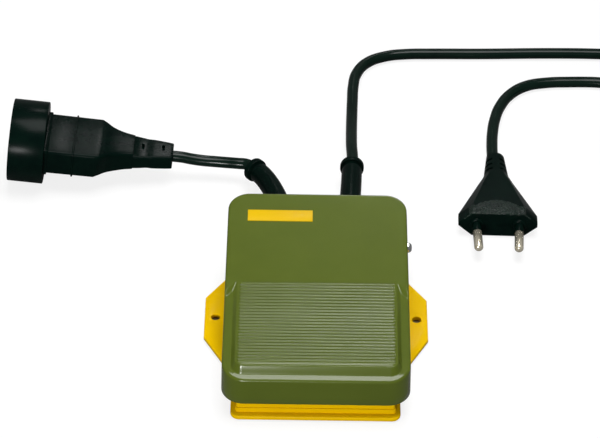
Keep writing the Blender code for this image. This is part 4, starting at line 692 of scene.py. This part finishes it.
def coverFittings():
    # spring cup and pin, the boss that presses the lever, pivot bosses: radii by the distance along an axis,
    # turned about it; rest ribs: rectangles at two heights
    pin, cup, long, soft = fitting["pinRadius"], fitting["cupRadius"], fitting["pinLength"], 0.0003
    cupTop = long + fitting["cupDrop"] + fitting["cupHold"]
    parts = [turnedRings([(0.0, 0.0004), (0.0, pin - soft), (soft, pin), (long, pin), (long, cup - 0.0002),
                          (long + soft, cup), (cupTop, cup), (cupTop, 0.0004)],
                         (0, spring["y"], coverPlane(spring["y"]) - cover["wall"] - fitting["cupDrop"] - long),
                         (0, 0, 1), 40)]
    pressY, pressZ = fitting["press"]
    pressTop, wide = coverPlane(pressY) - fitting["roofHold"] - pressZ, fitting["pressRadius"]
    parts.append(turnedRings([(0.0, 0.0001), (0.0, 0.0008), (wide * 0.15, wide * 0.72), (wide * 0.5, wide),
                              (pressTop, wide), (pressTop, 0.0002)], (0, pressY, pressZ), (0, 0, 1), 32))
    inside, bore, boss = base["halfX"] + fitting["bossGap"], fitting["bossBore"], fitting["bossRadius"]
    length = cover["halfX"] - fitting["bossHold"] - inside
    levels = (fitting["ribLow"], coverPlane(fitting["ribY"]) - fitting["roofHold"])
    for side in (-1, 1):
        profile = [(0.0, bore), (0.0, boss - soft), (soft, boss), (length, boss), (length, bore)]
        parts.append(turnedRings(profile, (side * inside, fitting["pivotY"], fitting["pivotZ"]),
                                 (side, 0, 0), 32))
        corners = square * fitting["ribHalf"] + (side * boot["glandX"], fitting["ribY"])
        parts.append(np.stack([np.column_stack([corners, np.full(4, level)]) for level in levels]))
    return parts


joinRings("coverFittings", coverFittings(), material["greenAbs"], "pedal")
print("stage: cover fittings")


# Return spring: round wire, closed turns at both ends

def springPiece():
    # helix: angle grows evenly, height slowly over the closed turns and evenly between them
    wire, closed, turns, seat = spring["wire"], spring["closed"], spring["turns"], spring["seat"]
    top = coverPlane(spring["y"]) - cover["wall"] - fitting["cupDrop"] - spring["slack"]
    low, high = seat + wire, top - wire
    turn = np.linspace(0, turns + 2 * closed, spring["points"])
    flatRise = 2 * wire + spring["closedGap"]
    share = np.clip((turn - closed) / turns, 0, 1)
    height = (low + flatRise * np.clip(turn / closed, 0, 1) + share * (high - low - 2 * flatRise)
              + flatRise * np.clip(turn - closed - turns, 0, None) / closed)
    angle = 2 * math.pi * turn
    route = np.stack([spring["radius"] * np.cos(angle), spring["y"] + spring["radius"] * np.sin(angle), height],
                     axis=1)
    places = np.linspace(0, routeLength(route), spring["points"])
    piece = ringPiece("returnSpring", sweptRings(route, [(place, wire) for place in places], sides=12),
                      material["zincSteel"], "base")
    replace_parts(piece, "return_spring")
    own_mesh(piece)


springPiece()
print("stage: return spring")


# Base: the solid's own shape with softened edges

def softenedCopy(node, name, finish, body, width, segments):
    # a copy of the solid, merged, with its edges rounded by a bevel of the given width
    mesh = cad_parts[node].data.copy()
    shape = bmesh.new()
    shape.from_mesh(mesh)
    bmesh.ops.remove_doubles(shape, verts=shape.verts, dist=2e-6)
    bmesh.ops.dissolve_limit(shape, angle_limit=math.radians(2.0), verts=shape.verts, edges=shape.edges)
    shape.to_mesh(mesh)
    shape.free()
    mesh.materials.clear()
    mesh.materials.append(finish)
    mesh.polygons.foreach_set("use_smooth", [True] * len(mesh.polygons))
    thing = linked(name, mesh)
    rounding = thing.modifiers.new("edgeRounding", "BEVEL")
    rounding.width = width
    rounding.segments = segments
    rounding.limit_method = "ANGLE"
    rounding.angle_limit = math.radians(32.0)
    rounding.harden_normals = True
    rounding.use_clamp_overlap = True
    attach(thing, body)
    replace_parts(thing, node)


softenedCopy("base_tray", "baseTray", material["yellowAbs"], "base", 0.00035, 3)
softenedCopy("cover_label", "coverLabel", material["labelFilm"], "pedal", 0.00018, 2)
print("stage: base")


# Coupling: round collar, flat grip with a raised ring, waist and slotted tail

gripStations = np.array([(0.0405, 0.0280, 0.0129), (0.0412, 0.0272, 0.0127), (0.0428, 0.0252, 0.0122),
                         (0.0450, 0.0219, 0.0113), (0.0473, 0.0194, 0.0107), (0.0494, 0.0177, 0.0103),
                         (0.0520, 0.0162, 0.0099), (0.0550, 0.0151, 0.0095), (0.0556, 0.0149, 0.0094)])
tailStations = np.array([(0.0558, 0.0153, 0.0076), (0.0570, 0.0156, 0.0071), (0.0595, 0.0152, 0.0066),
                         (0.0620, 0.0140, 0.0067), (0.0649, 0.0134, 0.0071), (0.0690, 0.0123, 0.0072),
                         (0.0722, 0.0114, 0.0071), (0.0730, 0.0112, 0.0070)])


def gripRows():
    # (distance, width, thickness, corner radius); waist and tail run smoothly through their stations,
    # the nose shrinks by a quarter circle
    width, thick, ring, length = (coupling[key] for key in ("width", "thickness", "ring", "collarLength"))
    end = length + coupling["flange"]
    rows = [(place, width + more, thick + more)
            for place, more in ((length - 0.0005, 0.0012), (end - 0.0003, 0.0012), (end - 0.0001, 0.0010),
                                (end, 0.0006), (end, 0.0001), (end + 0.0002, 0.0))]
    rows += [(ring + step, width - 0.0003 + 2 * rise, thick + 2 * rise)
             for step, rise in ((-0.00045, 0.0), (-0.00040, 0.0003), (-0.00025, 0.0005), (0.00025, 0.0005),
                                (0.00040, 0.0003), (0.00045, 0.0))]
    rows += [(0.0335, width - 0.0004, thick), (0.0360, width - 0.0005, thick), (0.0385, width - 0.0005, thick)]
    tail = smoothRoute(tailStations, 0.0006)
    for slot in coupling["slots"]:
        tail = tail[np.abs(tail[:, 0] - slot) > 0.0009]
        half = coupling["slotHalf"]
        edges = slot + np.array([-half - 1e-5, -half, half, half + 1e-5])
        sizes = [np.interp(edges, tailStations[:, 0], tailStations[:, i]) for i in (1, 2)]
        tail = np.vstack([tail, np.column_stack([edges] + sizes)])
    turn, soft = np.linspace(0, math.pi / 2, 5)[1:], coupling["noseRound"]
    drawn = coupling["noseDraw"] * (1 - np.cos(turn))
    nose = np.column_stack([couplingLength - soft + soft * np.sin(turn), tailStations[-1, 1] - drawn,
                            tailStations[-1, 2] - drawn])
    rows = np.vstack([rows, smoothRoute(gripStations, 0.0005), tail[np.argsort(tail[:, 0])], nose])
    return np.column_stack([rows, np.where(rows[:, 0] > coupling["tailStart"], coupling["tailCorner"],
                                           coupling["gripCorner"])])


def gripSections(rows):
    # rounded rectangles: an arc at each corner, and stops along the top for the slots' edges
    half, rise, corner = rows[:, 1:2] / 2, rows[:, 2:3] / 2, rows[:, 3:4]
    slot = coupling["slotAcross"]
    stops = np.array([[slot + 0.00015, slot + 0.00005, slot, 0.0, -slot, -slot - 0.00005, -slot - 0.00015]])
    parts = []
    for quarter, (sideX, sideY) in enumerate(((1, 1), (-1, 1), (-1, -1), (1, -1))):
        angle = ((quarter + np.linspace(0, 1, 9)) * math.pi / 2)[None]
        parts.append(np.stack([sideX * (half - corner) + corner * np.cos(angle),
                               sideY * (rise - corner) + corner * np.sin(angle)], axis=-1))
        if quarter == 0:
            across = stops + np.zeros_like(half)
            parts.append(np.stack([across, rise + np.zeros_like(across)], axis=-1))
    return np.concatenate(parts, axis=1)


def boredEnd(section, middle, radius, place, depth):
    # closes an end with a round bore: the outline's points move onto a circle, and go in
    away = section - middle
    circle = middle + away / np.linalg.norm(away, axis=1)[:, None] * radius
    rows = [np.column_stack([np.full(len(circle), place - into), middle + (circle - middle) * size])
            for into, size in ((0.0, 1.06), (0.0003, 1.0), (depth, 1.0), (depth, 0.02))]
    return np.stack(rows)


def couplingBody():
    # grip: the rounded rectangles set along the axis, cut back more the lower they lie where the waist
    # begins; collar: radius by the distance, with quarter-circle edges and a round pocket, turned
    rows = gripRows()
    section = gripSections(rows)
    along = np.repeat(rows[:, 0:1], section.shape[1], axis=1)
    # slots: the top drops between their edges
    for slot in coupling["slots"]:
        inside = ((np.abs(along - slot) < coupling["slotHalf"] + 5e-6) & (section[..., 1] > 0)
                  & (np.abs(section[..., 0]) < coupling["slotAcross"] + 2.5e-5))
        section[..., 1] = np.where(inside, section[..., 1] - coupling["slotDepth"], section[..., 1])
    low = np.clip((rows[:, 2:3] / 2 - section[..., 1]) / rows[:, 2:3], 0, 1)
    fade = smoothStep((along - 0.0330) / 0.0065) * smoothStep((0.0500 - along) / 0.0080)
    points = np.concatenate([(along - 0.0020 * low * fade)[..., None], section], axis=-1)
    bore = boredEnd(section[-1], np.zeros(2), lead["radius"] + 0.0001, couplingLength, boreDepth)
    grip = couplingPlace(np.concatenate([points, bore]))
    radius, length, pocket = coupling["collarRadius"], coupling["collarLength"], coupling["insertRadius"]
    turn, soft, depth = np.linspace(0, math.pi / 2, 4), coupling["edgeRound"], coupling["insertDepth"]
    profile = ([(depth, 0.0002), (depth, pocket), (0.0003, pocket), (0.0, pocket + 0.0003)]
               + [(soft * (1 - math.sin(a)), radius - soft * (1 - math.cos(a))) for a in turn[::-1]]
               + [(length - soft * (1 - math.sin(a)), radius - soft * (1 - math.cos(a))) for a in turn]
               + [(length, 0.0002)])
    collar = turnedRings(profile, couplingPlace((0, 0, 0)), couplingFrame()[0], 112)
    piece = joinRings("couplingBody", [grip, collar], material["pvcMoulding"], "base", 38.0)
    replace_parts(piece, "coupling_body")
    return piece


couplingPiece = couplingBody()
print("stage: coupling", len(couplingPiece.data.polygons))


# Plug: six-sided body, slotted relief, pins

def plugRows():
    # (distance, half width, half height, half flat, roundness): a face edge by a quarter circle, a flare
    # that runs evenly from shoulder to root, a relief that tapers to its end, and a rolled end
    half, thick, flat = plug["width"] / 2, plug["thickness"] / 2, plug["flat"] / 2
    root, shoulder, soft = plug["length"] - plug["reliefLength"], plug["shoulder"], plug["faceRound"]
    rootHalf, endHalf, endThick = plug["reliefRoot"] / 2, plug["reliefEnd"] / 2, plug["reliefEndThickness"] / 2
    rootFlat, low, endRound = rootHalf * 0.6, thick - plug["thinning"], plug["endRound"]
    turn = np.linspace(0, math.pi / 2, 5)
    rows = [(soft * (1 - math.sin(a)), half - soft * (1 - math.cos(a)), thick - soft * (1 - math.cos(a)), flat,
             0.0) for a in turn[::-1]]
    rows += [(shoulder + (root - shoulder) * share, half + (rootHalf - half) * share,
              thick + (low - thick) * share, flat + (rootFlat - flat) * share,
              0.6 * smoothStep((share - 0.75) / 0.25) + 0.05 * share)
             for share in np.linspace(0, 1, 80)]
    slots = root + plug["slotFirst"] + plug["slotStep"] * np.arange(3)
    slotEdges = np.array([0.00080, 0.00066, 0.00060])
    places = np.linspace(root + 0.0006, plug["length"] - endRound, 22)
    for slot in slots:
        places = places[np.abs(places - slot) > 0.0009]
        places = np.concatenate([places, slot - slotEdges, slot + slotEdges])
    places = np.sort(places)
    share = (places - root) / (plug["reliefLength"] - endRound)
    rows += np.column_stack([places, rootHalf + (endHalf + 0.0004 - rootHalf) * share - 0.0002,
                             low + (endThick + 0.0002 - low) * share - 0.0002, np.full(len(places), rootFlat),
                             0.65 + 0.35 * smoothStep(share * 3)]).tolist()
    rows += [(plug["length"] - endRound + endRound * math.sin(a), endHalf + 0.0002 - 0.0010 * (1 - math.cos(a)),
              endThick - 0.0008 * (1 - math.cos(a)), rootFlat, 1.0) for a in turn[1:]]
    return np.array(rows), slots


def plugSections(rows):
    # eight-cornered outline with short upright sides, moved towards an ellipse by the roundness
    half, rise, flat, roundness = (rows[:, i:i + 1] for i in (1, 2, 3, 4))
    side = plug["upright"] + np.zeros_like(half)
    corners = [(half, side), (flat, rise), (-flat, rise), (-half, side), (-half, -side), (-flat, -rise),
               (flat, -rise), (half, -side)]
    pieces = (8, 30, 8, 2, 8, 30, 8, 2)
    x, y = [], []
    for index, count in enumerate(pieces):
        start, stop = corners[index], corners[(index + 1) % 8]
        share = (np.arange(count) / count)[None]
        x.append(start[0] + (stop[0] - start[0]) * share)
        y.append(start[1] + (stop[1] - start[1]) * share)
    x, y = np.concatenate(x, axis=1), np.concatenate(y, axis=1)
    angle = np.arctan2(y / rise, x / half)
    return np.stack([x + (half * np.cos(angle) - x) * roundness, y + (rise * np.sin(angle) - y) * roundness],
                    axis=-1)


def plugBody():
    # the outlines set along the body; at a slot they shrink to the spine, by a narrow step on each side;
    # the coarse grain covers both broad faces in front of a parabola across them
    rows, slots = plugRows()
    section = plugSections(rows)
    place = np.repeat(rows[:, 0:1], section.shape[1], axis=1)
    for slot in slots:
        for reach, narrow in ((0.00070, section[..., 0] * 0.94), (0.00062, None)):
            if narrow is None:
                narrow = np.clip(section[..., 0], -plug["spine"], plug["spine"])
            section[..., 0] = np.where(np.abs(place - slot) < reach, narrow, section[..., 0])
    bore = boredEnd(section[-1], np.array([-plug["cordAside"], 0.0]), lead["radius"] + 0.0001, plug["length"],
                    boreDepth)
    local = np.concatenate([np.concatenate([section, place[..., None]], axis=-1), np.roll(bore, -1, axis=-1)])
    piece = ringPiece("plugBody", plugPlace(local.reshape(-1, 3)).reshape(local.shape), material["pvcMoulding"],
                      "base", smoothAngle=24.0)
    piece.data.materials.append(material["pvcGrained"])
    middle = (local[:-1] + local[1:]) / 2
    front = ((middle[..., 2] < plug["grainedReach"] - plug["grainedArc"] * middle[..., 0] ** 2)
             & (np.abs(middle[..., 1]) > plug["grainedHigh"]))
    index = np.zeros(len(piece.data.polygons), dtype=np.int32)
    index[:front.size] = front.ravel()
    piece.data.polygons.foreach_set("material_index", index)
    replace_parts(piece, "plug_body")
    return piece


plugPiece = plugBody()


def pinParts(side):
    # pin with a domed tip, its sleeve and a raised boss: radii by the distance, turned about a line that
    # leans in towards the tips
    lean = (plug["pinSpacing"] - plug["tipSpacing"]) / 2 / plug["pinLength"]

    def onLine(z):
        return plugPlace((side * (plug["pinSpacing"] / 2 + lean * z), 0.0, z))
    outward = onLine(0.0) - onLine(1.0)
    radius, root = plug["pinRadius"], plug["pinRoot"]
    neck, tip = radius - plug["sleeveWall"] - lead["gap"], root + plug["pinLength"]
    shoulder = root + plug["sleeveLength"] + 0.00005
    turn = np.linspace(0, math.pi / 2, 9)
    dome = [(tip - 0.0016 + 0.0016 * math.sin(a), radius * (0.12 + 0.88 * math.cos(a))) for a in turn]
    pin = turnedRings([(0.0, neck), (shoulder, neck), (shoulder, radius - 0.0001), (shoulder + 0.0001, radius)]
                      + dome, onLine(root), outward, 48)
    bore, end = radius - plug["sleeveWall"], root - 0.001 + plug["sleeveLength"]
    sleeve = turnedRings([(0.0, radius), (end - 0.0001, radius), (end, radius - 0.0001), (end, bore),
                          (0.0, bore)], onLine(root - 0.001), outward, 48)
    boss = turnedRings([(0.0, 0.0033), (0.0004, 0.0032), (0.0007, 0.0028), (0.0008, 0.0024),
                        (0.0008, radius + 0.0001), (0.0, radius + 0.0001)], onLine(-0.00002), outward, 48)
    return pin, sleeve, boss


bosses = []
for side, word in ((-1, "left"), (1, "right")):
    pin, sleeve, boss = pinParts(side)
    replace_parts(ringPiece("plugPin" + word.title(), pin, material["nickelPlate"], "base"),
                "plug_pin_" + word)
    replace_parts(ringPiece("pinSleeve" + word.title(), sleeve, material["pvcMoulding"], "base"),
                "pin_sleeve_" + word)
    bosses.append(boss)
# a fine raised seam between the pins: a flat bar across the face
seam = square * (0.0066, 0.00009)
bosses.append(np.stack([plugPlace(np.column_stack([seam, np.full(4, z)])) for z in (-0.0001, 0.0003)]))
joinRings("plugFaceDetails", bosses, material["pvcMoulding"], "base")
print("stage: plug", len(plugPiece.data.polygons))


# Finishes of the solids that keep their own shape

solidFinish = {
    "nitrileRubber": ["rubber_foot_1", "rubber_foot_2", "rubber_foot_3", "rubber_foot_4"],
    "brightZinc": ["pivot_screw"], "redPolyamide": ["switch_plunger"], "milkyPolyethylene": ["terminal_block"],
    "zincSteel": ["pivot_pin", "switch_lever", "switch_screw_1", "switch_screw_2", "clamp_screw_1",
                  "clamp_screw_2", "clamp_screw_3", "clamp_screw_4"],
    "darkPolyamide": ["switch_case", "coupling_insert"], "pvcMoulding": ["output_clamp", "supply_clamp"],
    "stampedBrass": ["switch_terminal_common", "switch_terminal_closed", "switch_terminal_open",
                     "block_screw_1", "block_screw_2", "block_screw_3", "block_screw_4", "contact_sleeve_left",
                     "contact_sleeve_right"],
}
for finishName, nodes in solidFinish.items():
    for node in nodes:
        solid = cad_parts[node]
        for place in solid.material_slots:
            place.material = material[finishName]
        if not solid.material_slots:
            solid.data.materials.append(material[finishName])
print("stage: finishes of solids")


# Floor, lamps, world

# the paper under the base is painted shade: a darker brown than the floor, standing in for the shade that falls
# there
studio = dict(underBase=((-0.0450, 0.0450), (-0.006, 0.024)), floorSize=6.0, floorGrey="#7c7c7c",
              floorGlow=0.82, paintedShadePaper="#6a5a3c", worldGrey=0.24)
# (name, place, size, power, aim, spread in degrees)
lamps = [("overheadSoftbox", (0.06, 0.03, 1.00), (0.60, 0.50), 8.1, (0.0, 0.0, 0.02), 180.0),
         ("backSoftbox", (0.095, 0.97, 0.84), (0.22, 0.20), 0.020, (0.0, -0.01, 0.02), 13.0),
         ("lowSoftbox", (-0.29, -1.15, 0.27), (0.46, 0.26), 0.27, (-0.085, 0.06, 0.02), 20.0)]


def makeFloor():
    # pale matt sheet; seen directly it also glows a little, so that it reads as white paper
    half = studio["floorSize"] / 2
    mesh = bpy.data.meshes.new("studioFloor")
    # outer square around a small rectangle hidden under the base; the rectangle gets no glow and a darker brown
    # colour, a painted shade seen through the ear holes
    (left, right), (front, back) = studio["underBase"]
    mesh.from_pydata([(-half, -half, 0), (half, -half, 0), (half, half, 0), (-half, half, 0),
                      (left, front, 0), (right, front, 0), (right, back, 0), (left, back, 0)], [],
                     [(0, 1, 5, 4), (1, 2, 6, 5), (2, 3, 7, 6), (3, 0, 4, 7), (4, 5, 6, 7)])
    paper = bpy.data.materials.new("studioPaper")
    paper.use_nodes = True
    tree = paper.node_tree
    tree.nodes.clear()
    matt = addNode(tree, "ShaderNodeBsdfDiffuse", {"Color": linearColour(studio["floorGrey"])})
    glow = addNode(tree, "ShaderNodeEmission", {"Color": grey(1.0), "Strength": studio["floorGlow"]})
    path = addNode(tree, "ShaderNodeLightPath")
    both = addNode(tree, "ShaderNodeAddShader", links={0: matt.outputs[0], 1: glow.outputs[0]})
    mixed = addNode(tree, "ShaderNodeMixShader", links={"Fac": path.outputs["Is Camera Ray"],
                                                        1: matt.outputs[0], 2: both.outputs[0]})
    addNode(tree, "ShaderNodeOutputMaterial", links={"Surface": mixed.outputs[0]})
    mesh.materials.append(paper)
    # painted shade: the rectangle under the base, in a dark brown paper colour
    paintedShadeMaterial = bpy.data.materials.new("studioPaperPaintedShade")
    paintedShadeMaterial.use_nodes = True
    paintedShadeInputs = paintedShadeMaterial.node_tree.nodes["Principled BSDF"].inputs
    paintedShadeInputs["Base Color"].default_value = linearColour(studio["paintedShadePaper"])
    mesh.materials.append(paintedShadeMaterial)
    mesh.polygons[4].material_index = 1
    floor = linked("studioFloor", mesh)


def softbox(name, place, size, power, aim, spread):
    lamp = bpy.data.lights.new(name, "AREA")
    lamp.shape = "RECTANGLE"
    lamp.size, lamp.size_y = size
    lamp.energy = power
    lamp.spread = math.radians(spread)
    holder = linked(name, lamp)
    holder.location = place
    holder.rotation_euler = (Vector(aim) - Vector(place)).to_track_quat("-Z", "Y").to_euler()


makeFloor()
for lampSetting in lamps:
    softbox(*lampSetting)
world = bpy.data.worlds.new("studioWorld")
bpy.context.scene.world = world
world.use_nodes = True
sky = world.node_tree
# grey light for everything but the camera's own rays, which see white
sky.nodes["Background"].inputs["Color"].default_value = grey(1.0)
sky.nodes["Background"].inputs["Strength"].default_value = studio["worldGrey"]
skyPath = addNode(sky, "ShaderNodeLightPath")
skyWhite = addNode(sky, "ShaderNodeBackground", {"Color": grey(1.0), "Strength": 1.0})
skyBoth = addNode(sky, "ShaderNodeMixShader", links={"Fac": skyPath.outputs["Is Camera Ray"],
                                                     1: sky.nodes["Background"].outputs[0],
                                                     2: skyWhite.outputs[0]})
sky.links.new(skyBoth.outputs[0], sky.nodes["World Output"].inputs["Surface"])
bpy.context.scene.view_settings.view_transform = "Standard"
print("stage: floor and light")
